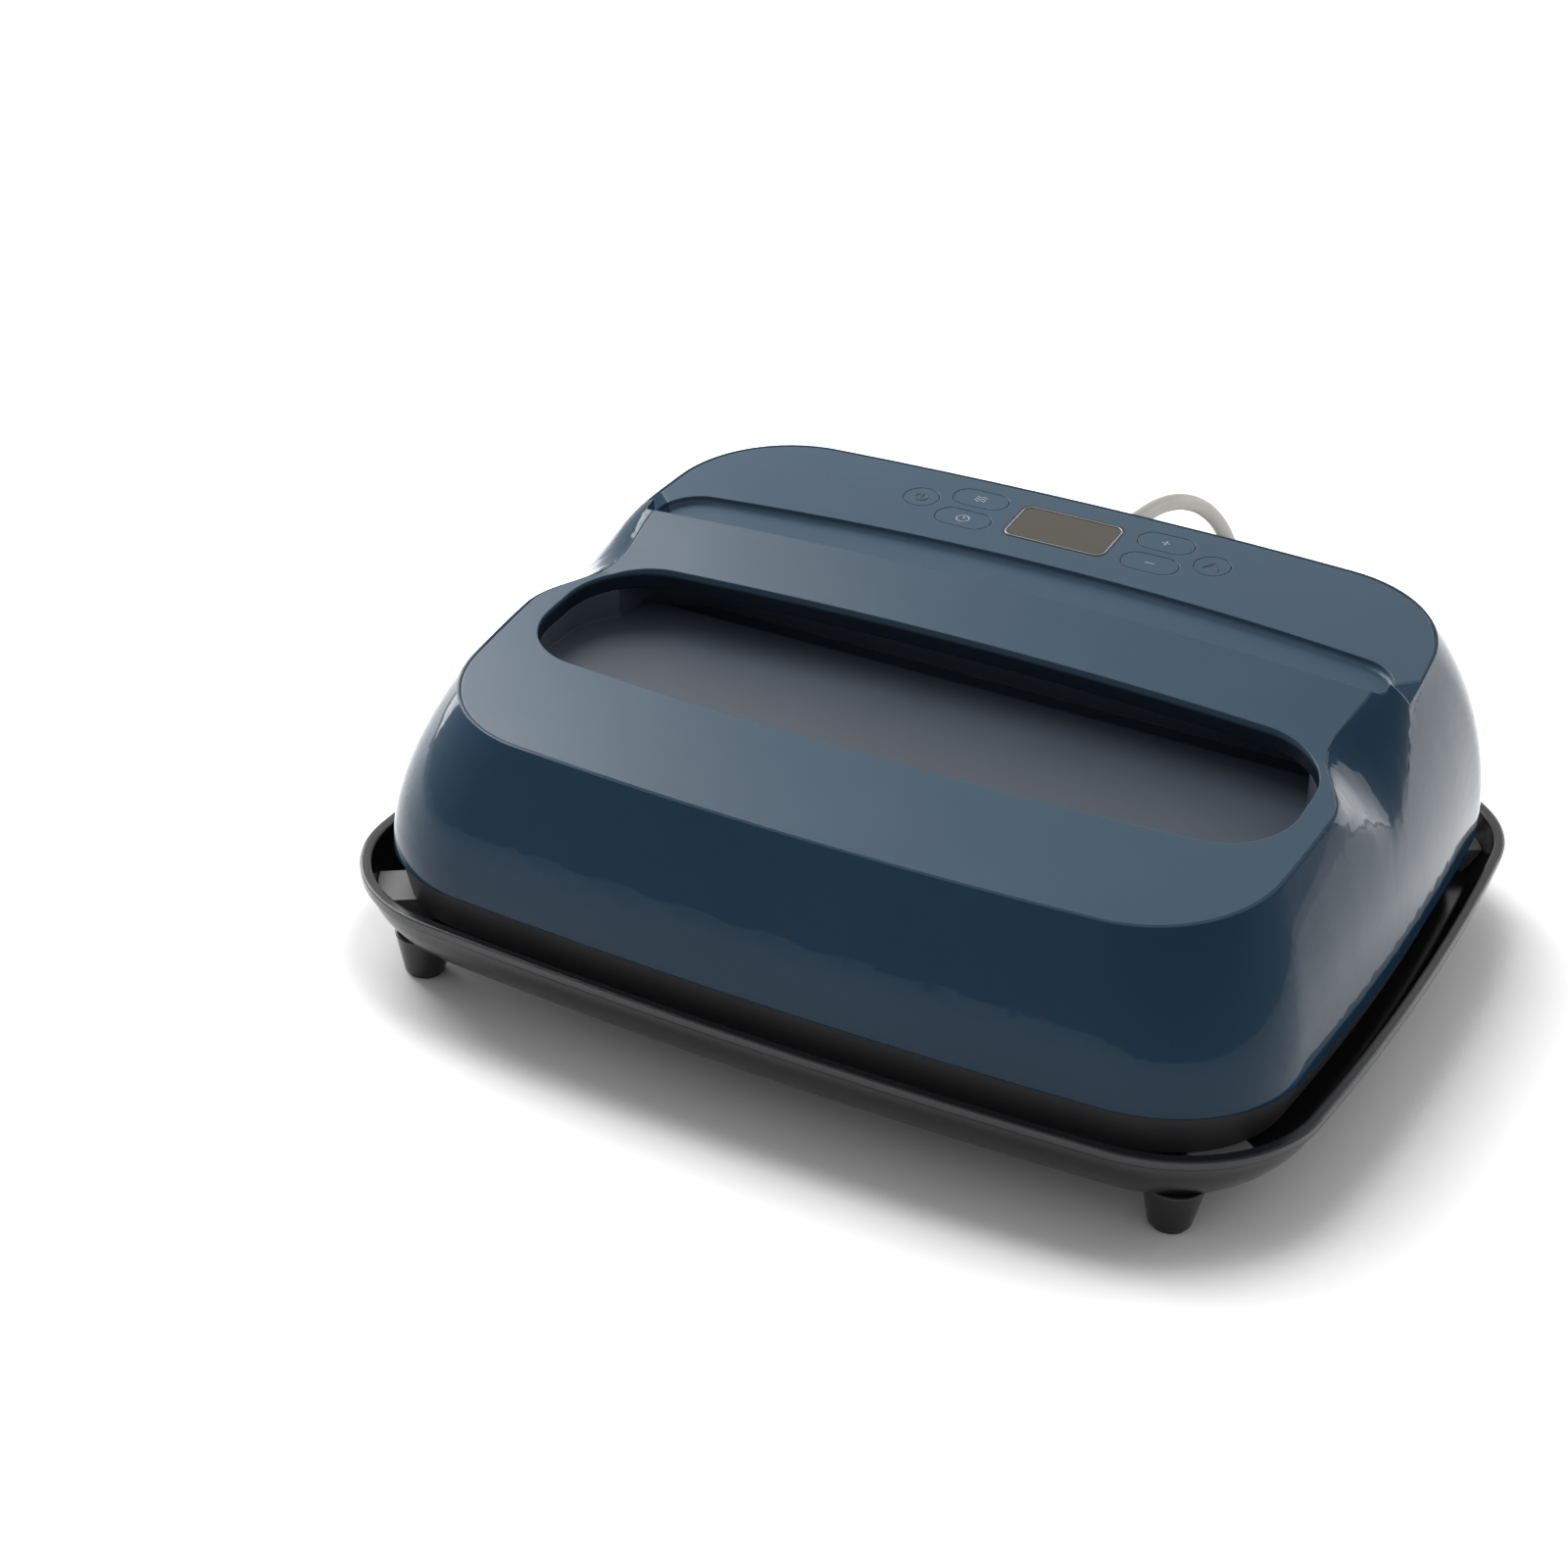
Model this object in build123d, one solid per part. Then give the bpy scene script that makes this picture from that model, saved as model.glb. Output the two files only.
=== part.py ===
from build123d import *
from math import cos, pi, radians, sin, sqrt, tan
import os

# Handheld heat press standing on its safety base.
# Millimetres. X runs to the right, Y to the rear, Z up from the surface under the base.

# Shared clearances
overrun = 20.0
fit_gap = 0.1
seam_gap = 0.15
seat_gap = 0.3

# Heat plate size, which the press and its base follow
plate_length = 305.0
plate_depth = 254.0

# Safety base tray
tray_border = 10.2
tray_bow = 8.0
tray_corner = 56.0
tray_rim_height = 36.8
tray_bottom = 16.5
tray_taper = 10.0
tray_level_shares = (0, 0.35, 0.7, 1)
tray_wall = 2.4
tray_floor = 2.8
tray_rim_drop = 3.4
tray_rim_overhang = 1.3
foot_inset_x = 40.0
foot_inset_y = 29.5
foot_top_radius = 10.5
foot_bottom_radius = 7.2
foot_pad_radius = 6.0
foot_pad_height = 2.0
foot_pad_recess = 0.6
rest_pad_inset_x = 33.0
rest_pad_inset_y = 39.5
rest_pad_turn = 38.0
rest_pad_length = 21.0
rest_pad_width = 13.0

# Side shell
shell_border = 18.3
shell_bottom = 44.2
shell_wall = 2.6
shell_rim = 1.2
shell_bow = 7.0
shell_corner = 52.0
side_lean = 18.1
front_lean = 16.0
rear_lean = 33.4
corner_loss = 4.0
level_shares = (0, 0.33, 0.67, 1, 1.3)

# Sloping top plane
top_height = 115.0
top_tilt = 7.7
cover_plate = 2.8

# Handle bar
bar_width = 32.0
bar_rear_lift = 5.4
bar_depth = 7.0
bar_bend_radius = 1290.0
bar_bend_angle = 8.0

# Grip slot in front of the bar
slot_side = 29.3
slot_front = 70.5
slot_front_bow = 6.0
slot_front_corner = 27.0
slot_rear_corner = 30.0
slot_wall = 2.4

# Thumb groove behind the bar
groove_width = 29.0
groove_side = 26.8
groove_depth = 2.6
groove_rear_sag = 12.0
groove_corner = 17.0
groove_tip = 3.0
groove_round = 1.6
groove_floor = 2.6

# Rolled ends of the bar in the side shell
scoop_front = 50.0
scoop_lip = 10.0
scoop_reach = 14.7
scoop_drop = 32.0
scoop_backing = 4.0
scoop_y_shares = (-1, -0.56, -0.2, 0.24, 0.76)
scoop_reach_shares = (0.02, 0.37, 1, 0.82, 0.585)
scoop_drop_shares = (0.02, 0.42, 1, 0.62, 0.3)
scoop_lift_shares = (0, 0, 0.08, 0.63, 1.28)
scoop_steps = 12
scoop_skin = 0.05
seam_inset = 0.3

# Grip liner
liner_wall = 2.2
liner_flange = 5.0
shelf_front_depth = 9.0
shelf_rear_depth = 20.7
shelf_rear = 6.0
channel_depth = 31.0
channel_slope = 3.0
channel_rear = 27.0
channel_inset = 8.5
channel_corner = 18.0

# Control panel on the rear deck
panel_inset = 23.3
panel_margin = 25.6
panel_row = 8.05
pill_spacing = 75.1
round_spacing = 117.5
pill_length = 22.4
pill_width = 12.6
round_diameter = 14.0
button_gap = 0.35
button_flange = 1.0
button_flange_height = 1.0
button_flange_gap = 0.2
button_travel = 0.5
button_stem_radius = 1.6
button_stem = 1.0
switch_side = 6.0
switch_body = 3.5
switch_plunger = 0.75
switch_plunger_radius = 1.5

# Display
display_length = 41.0
display_width = 24.0
display_corner = 4.0
lens_thickness = 1.2
lens_bevel = 0.4
lens_ledge = 1.8
module_gap = 0.4
module_margin = 2.0

# Control board
board_thickness = 1.6
control_length = 136.0
control_width = 36.0
control_screw_x = 64.0
control_screw_v = 14.0
control_boss_radius = 3.2
buzzer_radius = 6.0
buzzer_height = 6.0
buzzer_x = 56.0

# Cover screws, shell tabs and liner screws
cover_screw_side = 48.8
cover_screw_front_inset = 26.3
cover_screw_rear_inset = 23.9
cover_boss_radius = 4.4
cover_boss = 6.4
tab_width = 13.0
tab_thickness = 3.0
liner_screw_x = 88.0
liner_screw_margin = 4.0
screw_radius = 1.5
screw_hole_gap = 0.2
screw_head_radius = 3.0
screw_head = 2.2
screw_engagement = 4.2

# Skirt frame
skirt_bottom = 28.0
skirt_top_inset = 1.4
skirt_taper = 4.0
skirt_ceiling = 3.2
skirt_ledge = 10.2
skirt_opening_corner = 45.0
skirt_rib = 4.0
skirt_rib_wall = 1.8
case_screw_inset = 11.3
case_screw_y = 60.0
case_screw_sink = 8.0
case_boss_radius = 5.0
case_boss_height = 14.0
boss_rib = 3.0
boss_cap = 2.5

# Heat plate and heater
plate_corner = 46.0
plate_thickness = 10.0
plate_bottom = 25.0
plate_edge_round = 1.5
plate_gap = 2.2
element_radius = 3.2
element_sink = 1.2
element_margin = 27.5
element_side = 32.5
element_bend_share = 0.492
element_post_height = 22.0
element_post_radius = 3.0
plate_screw_inset = 5.2
plate_screw_x_share = 0.476
plate_screw_y_share = 0.369
plate_screw_depth = 6.7
element_row_shares = (-1.5, -0.5, 0.5, 1.5)
spacer_radius = 4.2
mat_thickness = 2.2
mat_gap = 1.0
hole_margin = 2.0
cutout_radius = 8.0
cutout_height = 9.0
cutout_x = 45.0
cutout_ear_length = 24.0
cutout_ear_width = 7.0
cutout_ear = 1.2
sensor_length = 9.0
sensor_width = 6.0
sensor_height = 5.0
sensor_x = -62.0

# Heat shield
shield_sheet = 1.0
shield_inset = 1.0
shield_raise = 6.0
shield_top_length = 220.0
shield_top_depth = 180.0
shield_slope = 8.0
shield_top_corner = 20.0

# Power board and its parts
power_length = 112.0
power_width = 78.0
power_x = -48.0
power_y = -22.0
standoff_height = 6.0
standoff_radius = 3.0
standoff_inset = 5.0
relay_length = 28.0
relay_width = 12.5
relay_height = 15.0
transformer_length = 30.0
transformer_width = 24.0
transformer_height = 20.0
capacitor_radius = 6.0
capacitor_height = 18.0
component_pitch = 36.0
component_row_share = 0.2
sink_length = 40.0
sink_width = 14.0
sink_height = 18.0
sink_fins = 5
sink_fin = 1.4
sink_base = 3.0

# Terminal block and inner leads
terminal_length = 34.0
terminal_width = 16.0
terminal_height = 14.0
terminal_run = 41.5
terminal_well_radius = 2.6
terminal_well = 5.0
terminal_poles = 3
lead_radius = 1.2
lead_rise = 9.0
lead_bend = 6.0
lead_spread = 12.0

# Power cord
cord_diameter = 6.8
cord_x = 0.0
cord_height = 104.2
collar_radius = 8.4
collar_inset = 10.3
gland_flange_radius = 7.6
gland_flange = 2.0
gland_neck_radius = 6.2
gland_neck = 11.5
boot_radius = 6.0
boot_tip_radius = 4.6
boot_length = 22.0
boot_rings = 5
boot_ring_share = 0.5
boot_ring_depth = 0.8
lead_sheath_radius = 2.4
lead_sheath_drop = 4.8
lead_sheath_bend = 4.6
lead_sheath_sweep = 20.0
coil_x = -84.0
coil_y = 238.0
coil_lead_in = 47.6
coil_turns = 3
coil_radius = 37.6
turn_step = 7.5
layer_step = 7.5
floor_gap = 0.1
tie_thickness = 1.2
tie_width = 9.0
tie_gap = 0.5
tie_slack = 0.6
plug_offset = 15.0
plug_length = 36.0
plug_width = 27.0
plug_round = 5.0
plug_neck = 16.0
plug_neck_radius = 5.6
plug_tip_radius = 4.2
blade_length = 17.5
blade_width = 6.3
blade_thickness = 1.5
blade_pitch = 12.7
blade_round = 0.5

# Route of the cord from its boot to the coil behind the press
cord_first_run = 26.4
cord_bend_share = 0.45
cord_route = [
    (0.0, 229.9, 90.8),
    (0.0, 267.0, 69.7),
    (-1.0, 296.0, 43.5),
    (-5.0, 320.0, 18.5),
    (-18.0, 348.0, 4.6),
    (-50.0, 372.0, 3.9),
    (-94.0, 371.0, 3.9),
    (-126.0, 336.0, 4.2),
]

os.makedirs("parts", exist_ok=True)

# Lengths that follow the plate: the shell round it, the tray round the shell, the places along both
shell_length = plate_length + 2 * shell_border
shell_depth = plate_depth + 2 * shell_border
tray_length = shell_length + 2 * tray_border
tray_depth = shell_depth + 2 * tray_border
top_front = shell_depth / 2 - front_lean
top_rear = shell_depth / 2 - rear_lean
slot_half_length = shell_length / 2 - slot_side
groove_half_length = shell_length / 2 - groove_side
channel_half_length = slot_half_length - channel_inset
panel_centre = top_rear - panel_inset
bar_front = panel_centre - panel_margin - groove_width - bar_width
cover_screw_x = shell_length / 2 - cover_screw_side
cover_screw_front = top_front - cover_screw_front_inset
cover_screw_rear = top_rear - cover_screw_rear_inset
case_screw_x = shell_length / 2 - case_screw_inset
skirt_opening_length = plate_length - 2 * skirt_ledge
skirt_opening_depth = plate_depth - 2 * skirt_ledge
plate_screw_x = plate_length / 2 - plate_screw_inset
plate_screw_y = plate_depth / 2 - plate_screw_inset
element_reach = plate_length / 2 - element_margin
shield_length = plate_length - 2 * shield_inset
shield_depth = plate_depth - 2 * shield_inset
shield_corner = plate_corner - shield_inset
foot_x = tray_length / 2 - foot_inset_x
foot_y = tray_depth / 2 - foot_inset_y
rest_pad_x = tray_length / 2 - rest_pad_inset_x
rest_pad_y = tray_depth / 2 - rest_pad_inset_y
collar_face = shell_depth / 2 - collar_inset
gland_inner = collar_face - gland_neck
terminal_y = gland_inner - terminal_run - terminal_width / 2
tilt = radians(top_tilt)
wall_height = top_height - shell_bottom
span = 2 * shell_length
cord_radius = cord_diameter / 2
top = Plane(origin=(0, 0, top_height), x_dir=(1, 0, 0), z_dir=(0, -sin(tilt), cos(tilt)))
sides = (-1, 1)
clear_radius = screw_radius + screw_hole_gap
pilot = screw_radius + fit_gap


def write(node, shape):
    export_step(shape, f"parts/{node}.step")


def group(solids):
    return Part() + list(solids)


def bowed_rectangle(length, width, bow, corner):
    x, y = length / 2 - bow, width / 2 - bow
    outline = Curve() + [
        ThreePointArc((-x, -y), (0, -width / 2), (x, -y)),
        ThreePointArc((x, -y), (length / 2, 0), (x, y)),
        ThreePointArc((x, y), (0, width / 2), (-x, y)),
        ThreePointArc((-x, y), (-length / 2, 0), (-x, -y)),
    ]
    face = make_face(outline)
    return fillet(face.vertices(), corner)


def rod(radius, low, high):
    return Pos(0, 0, (low + high) / 2) * Cylinder(radius, high - low)


def block(length, width, low, high):
    return Pos(0, 0, (low + high) / 2) * Box(length, width, high - low)


def rounded_block(length, width, corner, low, high):
    return Pos(0, 0, low) * extrude(RectangleRounded(length, width, corner), high - low)


def tube(path, radius):
    start = Plane(origin=path @ 0, z_dir=path % 0)
    return sweep(start * Circle(radius), path=path)


def screw(seat, tip, head_sign):
    far = seat + head_sign * screw_head
    head = rod(screw_head_radius, min(seat, far), max(seat, far))
    return head + rod(screw_radius, min(seat, tip), max(seat, tip))


# Outer form of the shell: bowed outlines that draw in and tilt as they rise to the sloping top
def shell_section(level, inset):
    front = front_lean * level**2 + inset
    rear = rear_lean * level**2 + inset
    side = side_lean * level**2 + inset
    corner = shell_corner - corner_loss * level**2 - inset
    outline = bowed_rectangle(shell_length - 2 * side, shell_depth - front - rear, shell_bow, corner)
    place = Pos(0, 0, shell_bottom + level * wall_height) * Rot(level * top_tilt, 0, 0)
    return place * Pos(0, (front - rear) / 2, 0) * outline


def loaf(inset):
    return loft([shell_section(level, inset) for level in level_shares])


def slab(low, high):
    return top * block(span, span, low, high)


# Plan outlines on the sloping top
def crescent(v, u):
    return v - bar_bend_radius + sqrt(bar_bend_radius**2 - u**2)


def slot_outline(grow):
    half = slot_half_length + grow
    front = -slot_front - grow
    rear = crescent(bar_front, slot_half_length) + grow
    outline = Curve() + [
        ThreePointArc((-half, front), (0, front - slot_front_bow), (half, front)),
        Line((half, front), (half, rear)),
        ThreePointArc((half, rear), (0, bar_front + grow), (-half, rear)),
        Line((-half, rear), (-half, front)),
    ]
    face = make_face(outline)
    corners = face.vertices().sort_by(Axis.Y)
    face = fillet(corners[:2], slot_front_corner + grow)
    corners = [v for v in face.vertices().sort_by(Axis.Y)[-2:]]
    return fillet(corners, slot_rear_corner + grow)


def groove_outline(grow):
    half = groove_half_length + grow
    front = crescent(bar_front + bar_width, groove_half_length) - grow
    rear = bar_front + bar_width + groove_width + grow
    outline = Curve() + [
        ThreePointArc((-half, front), (0, bar_front + bar_width - grow), (half, front)),
        Line((half, front), (half, rear - groove_rear_sag)),
        ThreePointArc((half, rear - groove_rear_sag), (0, rear), (-half, rear - groove_rear_sag)),
        Line((-half, rear - groove_rear_sag), (-half, front)),
    ]
    face = make_face(outline)
    corners = face.vertices().sort_by(Axis.Y)
    face = fillet(corners[-2:], groove_corner + grow)
    corners = [v for v in face.vertices().sort_by(Axis.Y)[:2]]
    return fillet(corners, groove_tip)


def prism(outline, low, high):
    face = outline.face()
    face = face if face.normal_at().Z > 0 else -face
    return Pos(0, 0, low) * extrude(face, high - low)


# Crown: the sloping top with the raised bar, grip slot and thumb groove
bar_foot = bar_front - bar_width / 4
lift_slope = bar_rear_lift / (bar_front + bar_width - bar_foot)
bar_section = Polyline(
    (0, bar_foot, -bar_depth),
    (0, bar_foot, 0),
    (0, bar_front + bar_width + groove_width / 4, bar_rear_lift + lift_slope * groove_width / 4),
    (0, bar_front + bar_width + groove_width / 4, -bar_depth),
    close=True,
)
bend_axis = Axis((0, bar_front - bar_bend_radius, 0), (0, 0, 1))
bar_band = revolve(make_face(bar_section), axis=bend_axis, revolution_arc=2 * bar_bend_angle)
bar_band = bar_band.rotate(bend_axis, -bar_bend_angle)
slot_tool = prism(slot_outline(0), -bar_depth - overrun, overrun)
groove_tool = prism(groove_outline(0), -groove_depth, overrun)
groove_tool = fillet(groove_tool.edges().group_by(Axis.Z)[0], groove_round)
top_body = top * (block(span, span, -top_height, 0) + bar_band - slot_tool - groove_tool)


# Rolled ends: the side wall sweeps over the ends of the bar
def top_line(y):
    return top_height + y * tan(tilt)


def bow_sag(y):
    half_chord = (shell_depth - front_lean - rear_lean) / 2 - shell_bow
    radius = (half_chord**2 + shell_bow**2) / (2 * shell_bow)
    return radius - sqrt(radius**2 - (y - (front_lean - rear_lean) / 2) ** 2)


def wall_x(y, level):
    return shell_length / 2 - side_lean * level**2 - bow_sag(y)


def roll_edge(y, reach, lift):
    top_level = 1 + lift / (top_line(y) - shell_bottom)
    return wall_x(y, top_level) - reach + scoop_skin


def roll_section(y, reach, drop, lift):
    height = top_line(y) - shell_bottom
    z = top_line(y) + lift
    low = z - drop
    level = (low - shell_bottom) / height
    slope = 2 * side_lean * level / height
    inner, outer = roll_edge(y, reach, lift), wall_x(y, level) + scoop_skin
    arc = TangentArc((outer, y, low), (inner, y, z), tangent=(-slope, 0, 1))
    away = shell_length / 2 + overrun
    over = z + overrun
    edge = Polyline((inner, y, z), (inner, y, over), (away, y, over), (away, y, low), (outer, y, low))
    return make_face(Curve() + [arc, edge])


def scoop_spread(shares, size):
    spread = Spline(*[(y * scoop_front, share * size, 0) for y, share in zip(scoop_y_shares, shares)])
    return [spread @ (step / scoop_steps) for step in range(scoop_steps + 1)]


scoop_least = scoop_reach_shares[0] * scoop_reach
reaches = scoop_spread(scoop_reach_shares, scoop_reach)
drops = scoop_spread(scoop_drop_shares, scoop_drop)
lifts = scoop_spread(scoop_lift_shares, bar_rear_lift)
stations = [
    (reach.X, max(reach.Y, scoop_least), max(drop.Y, scoop_least), max(lift.Y, 0))
    for reach, drop, lift in zip(reaches, drops, lifts)]
scoop_rear = stations[-1][0]
lip = (scoop_rear + scoop_lip, scoop_least, scoop_least, scoop_skin)
scoop_sections = [roll_section(*station) for station in stations]
scoop = loft(scoop_sections) + loft([scoop_sections[-1], roll_section(*lip)], ruled=True)
form = loaf(0)
crown = (form & top_body) - scoop - mirror(scoop, about=Plane.YZ)


# Seam between the satin cover and the glossy shell, just inside the start of the roll
def notched(shape, grow):
    places = stations + [lip]
    line = [(roll_edge(y, reach, lift) - seam_inset - grow, y) for y, reach, drop, lift in places]
    far = shell_length / 2 + overrun
    front_y = line[0][1] - grow
    rear_y = line[-1][1] + grow
    line = [(far, front_y), (line[0][0], front_y)] + line[1:-1] + [(line[-1][0], rear_y), (far, rear_y)]
    notch = prism(make_face(Polyline(*line, close=True)), shell_bottom, top_height + 2 * overrun)
    return shape - notch - mirror(notch, about=Plane.YZ)


cover_zone = notched(loaf(shell_rim) & slab(-cover_plate, overrun), 0)
relief = Pos(0, 0, -scoop_backing) * scoop
cavity = (loaf(shell_wall) & slab(-top_height, -cover_plate)) - relief - mirror(relief, about=Plane.YZ)
side_shell = crown - cavity - cover_zone

# Cord gland, seated on a short collar on the rear wall
rear = Plane(origin=(cord_x, 0, cord_height), x_dir=(1, 0, 0), z_dir=(0, 1, 0))
boot_start = collar_face + gland_flange
boot_tip = boot_start + boot_length
collar = (rear * rod(collar_radius, gland_inner, collar_face)) - cavity
gland_hole = rear * rod(gland_neck_radius + fit_gap, gland_inner - overrun, collar_face + overrun)
gland = rod(gland_neck_radius, gland_inner, collar_face) + rod(gland_flange_radius, collar_face, boot_start)
gland += Pos(0, 0, boot_start + boot_length / 2) * Cone(boot_radius, boot_tip_radius, boot_length)
ring_pitch = boot_length / (boot_rings + 1)
for ring in range(boot_rings):
    ring_place = boot_start + (ring + 1) * ring_pitch
    ring_half = boot_ring_share * ring_pitch / 2
    ring_share = (ring + 1) / (boot_rings + 1)
    ring_core = boot_radius + (boot_tip_radius - boot_radius) * ring_share - boot_ring_depth
    ring_ends = (ring_place - ring_half, ring_place + ring_half)
    gland -= rod(collar_radius, *ring_ends) - rod(ring_core, *ring_ends)

# Side shell: wall, rim round the cover, screw bosses and cover tabs
case_places = [(x * case_screw_x, y * case_screw_y) for x in sides for y in sides]
cover_places = [(x * cover_screw_x, v) for x in sides for v in (-cover_screw_front, cover_screw_rear)]
boss_top = shell_bottom + case_boss_height
rib_low = shell_bottom + skirt_rib + seat_gap
for x, y in case_places:
    reach = shell_length / 2 - abs(x)
    rib = Pos(x + (reach / 2 if x > 0 else -reach / 2), y, 0) * block(reach, boss_rib, rib_low, boss_top)
    boss = Pos(x, y, 0) * rod(case_boss_radius, shell_bottom, boss_top)
    hole = Pos(x, y, 0) * rod(pilot, shell_bottom - overrun, boss_top - boss_cap)
    side_shell = side_shell + (rib & loaf(shell_wall / 2)) + boss - hole
tab_top = -cover_plate - cover_boss
tab_low = tab_top - tab_thickness
for u, v in cover_places:
    reach = shell_length / 2 - abs(u) + cover_boss_radius
    tab_u = u + (reach / 2 - cover_boss_radius) * (1 if u > 0 else -1)
    tab = top * Pos(tab_u, v, 0) * block(reach, tab_width, tab_low, tab_top)
    side_shell += tab & loaf(shell_wall / 2)
    side_shell -= top * Pos(u, v, 0) * rod(clear_radius, tab_low - overrun, tab_top + seat_gap)
side_shell = side_shell + collar - gland_hole
write("side_shell", side_shell)
write("cord_gland", rear * gland)

# Top cover: satin plate with the bar, groove, slot wall, panel openings and bosses
row_places = {
    "power": (-round_spacing / 2, panel_centre),
    "temperature": (-pill_spacing / 2, panel_centre + panel_row),
    "timer": (-pill_spacing / 2, panel_centre - panel_row),
    "plus": (pill_spacing / 2, panel_centre + panel_row),
    "minus": (pill_spacing / 2, panel_centre - panel_row),
    "start": (round_spacing / 2, panel_centre),
}
round_buttons = ("power", "start")


def button_outline(name, grow):
    if name in round_buttons:
        return Circle(round_diameter / 2 + grow)
    return SlotOverall(pill_length + 2 * grow, pill_width + 2 * grow)


button_low = -cover_plate - button_flange_gap - button_flange_height
plunger_top = button_low - button_stem - button_travel - fit_gap / 2
board_top = plunger_top - switch_plunger - switch_body
board_low = board_top - board_thickness
control_places = [(x * control_screw_x, panel_centre + y * control_screw_v) for x in sides for y in sides]
liner_front = -slot_front - slot_front_bow - slot_wall - liner_screw_margin
liner_rear = channel_rear + liner_wall + liner_screw_margin
liner_places = [(x * liner_screw_x, v) for x in sides for v in (liner_front, liner_rear)]
bar_core = prism(slot_outline(slot_wall), -bar_depth, 0)
bar_core += Pos(0, liner_rear / 2, 0) * block(
    2 * channel_half_length + 2 * liner_wall, liner_rear + 2 * liner_screw_margin, -bar_depth, 0)
groove_core = prism(groove_outline(groove_floor), -groove_depth - groove_floor, 0)
liner_bosses = [Pos(u, v, 0) * rod(cover_boss_radius, -bar_depth, 0) for u, v in liner_places]
under = block(span, span, -bar_depth - overrun, -cover_plate) - bar_core - groove_core - liner_bosses
cover_form = notched(loaf(shell_rim + seam_gap) & slab(-bar_depth, overrun), seam_gap)
top_cover = (crown & cover_form) - top * under
boss_lap = cover_plate / 2
for u, v in cover_places:
    top_cover += top * Pos(u, v, 0) * rod(cover_boss_radius, tab_top, -boss_lap)
for u, v in control_places:
    top_cover += top * Pos(u, v, 0) * rod(control_boss_radius, board_top, -boss_lap)
for u, v in cover_places:
    top_cover -= top * Pos(u, v, 0) * rod(pilot, tab_top - overrun, tab_top + screw_engagement)
for u, v in control_places:
    top_cover -= top * Pos(u, v, 0) * rod(pilot, board_top - overrun, board_top + screw_engagement)
for u, v in liner_places:
    top_cover -= top * Pos(u, v, 0) * rod(pilot, -bar_depth - overrun, -bar_depth + screw_engagement)
for name, (u, v) in row_places.items():
    top_cover -= top * Pos(u, v, 0) * prism(button_outline(name, 0), -bar_depth, overrun)
lens_place = top * Pos(0, panel_centre, 0)
window_length = display_length - 2 * lens_ledge
window_width = display_width - 2 * lens_ledge
rabbet = (display_length + 2 * fit_gap, display_width + 2 * fit_gap, display_corner)
top_cover -= lens_place * rounded_block(*rabbet, -lens_thickness, overrun)
window = (window_length, window_width, display_corner - lens_ledge)
top_cover -= lens_place * rounded_block(*window, -overrun, 0)
write("top_cover", top_cover)

# Buttons, each a cap with a retaining flange and a stem over its switch
for name, (u, v) in row_places.items():
    cap = prism(button_outline(name, -button_gap), button_low, 0)
    cap += prism(button_outline(name, button_flange), button_low, button_low + button_flange_height)
    cap += rod(button_stem_radius, button_low - button_stem, button_low)
    write(f"button_{name}", top * Pos(u, v, 0) * cap)
switches = []
for u, v in row_places.values():
    body = block(switch_side, switch_side, board_top, board_top + switch_body)
    body += rod(switch_plunger_radius, board_top + switch_body, plunger_top)
    switches.append(top * Pos(u, v, 0) * body)
write("button_switches", group(switches))

# Display lens and module
lens = rounded_block(display_length, display_width, display_corner, -lens_thickness, 0)
lens = chamfer(lens.edges().group_by(Axis.Z)[-1], lens_bevel)
write("display_lens", lens_place * lens)
module_top = -cover_plate - module_gap
module = block(display_length - module_margin, display_width - module_margin, board_top, module_top)
write("display_module", lens_place * module)

# Control board, buzzer and their screws
board = block(control_length, control_width, board_low, board_top)
for u, v in control_places:
    board -= Pos(u, v - panel_centre, 0) * rod(clear_radius, board_low, board_top)
write("control_board", lens_place * board)
write("buzzer", lens_place * Pos(buzzer_x, 0, 0) * rod(buzzer_radius, board_low - buzzer_height, board_low))
write("control_board_screws", group(
    top * Pos(u, v, 0) * screw(board_low, board_top + screw_engagement - fit_gap, -1)
    for u, v in control_places))
write("cover_screws", group(
    top * Pos(u, v, 0) * screw(tab_low, tab_top + screw_engagement - fit_gap, -1)
    for u, v in cover_places))

# Grip liner: flange under the cover, sloping shelf and finger channel under the bar
shelf_front = -slot_front - slot_front_bow


def tub_profile(grow):
    far = shelf_front - overrun
    line = Polyline(
        (0, far, -bar_depth + overrun),
        (0, far, -shelf_front_depth - grow),
        (0, shelf_rear - grow, -shelf_rear_depth - grow),
        (0, shelf_rear + channel_slope - grow, -channel_depth - grow),
        (0, channel_rear + grow, -channel_depth - grow),
        (0, channel_rear + grow, -bar_depth + overrun),
        close=True,
    )
    return extrude(make_face(line), slot_half_length + overrun, both=True)


def tub_plan(grow, low, high):
    channel = RectangleRounded(
        2 * (channel_half_length + grow), channel_rear + slot_front + 2 * grow, channel_corner + grow)
    plan = prism(slot_outline(grow), low, high)
    return plan + Pos(0, (channel_rear - slot_front) / 2, 0) * prism(channel, low, high)


tub_low = -channel_depth - overrun
void = tub_plan(0, tub_low, -bar_depth) & tub_profile(0)
tub = tub_plan(liner_wall, tub_low, -bar_depth) & tub_profile(liner_wall)
flange = tub_plan(liner_flange + liner_wall, -bar_depth - liner_wall, -bar_depth)
liner = tub + flange - void
for u, v in liner_places:
    liner += Pos(u, v, 0) * rod(cover_boss_radius, -bar_depth - liner_wall, -bar_depth)
    liner -= Pos(u, v, 0) * rod(clear_radius, -bar_depth - overrun, -bar_depth + overrun)
write("grip_liner", top * liner)
write("liner_screws", group(
    top * Pos(u, v, 0) * screw(-bar_depth - liner_wall, -bar_depth + screw_engagement - fit_gap, -1)
    for u, v in liner_places))

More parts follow.
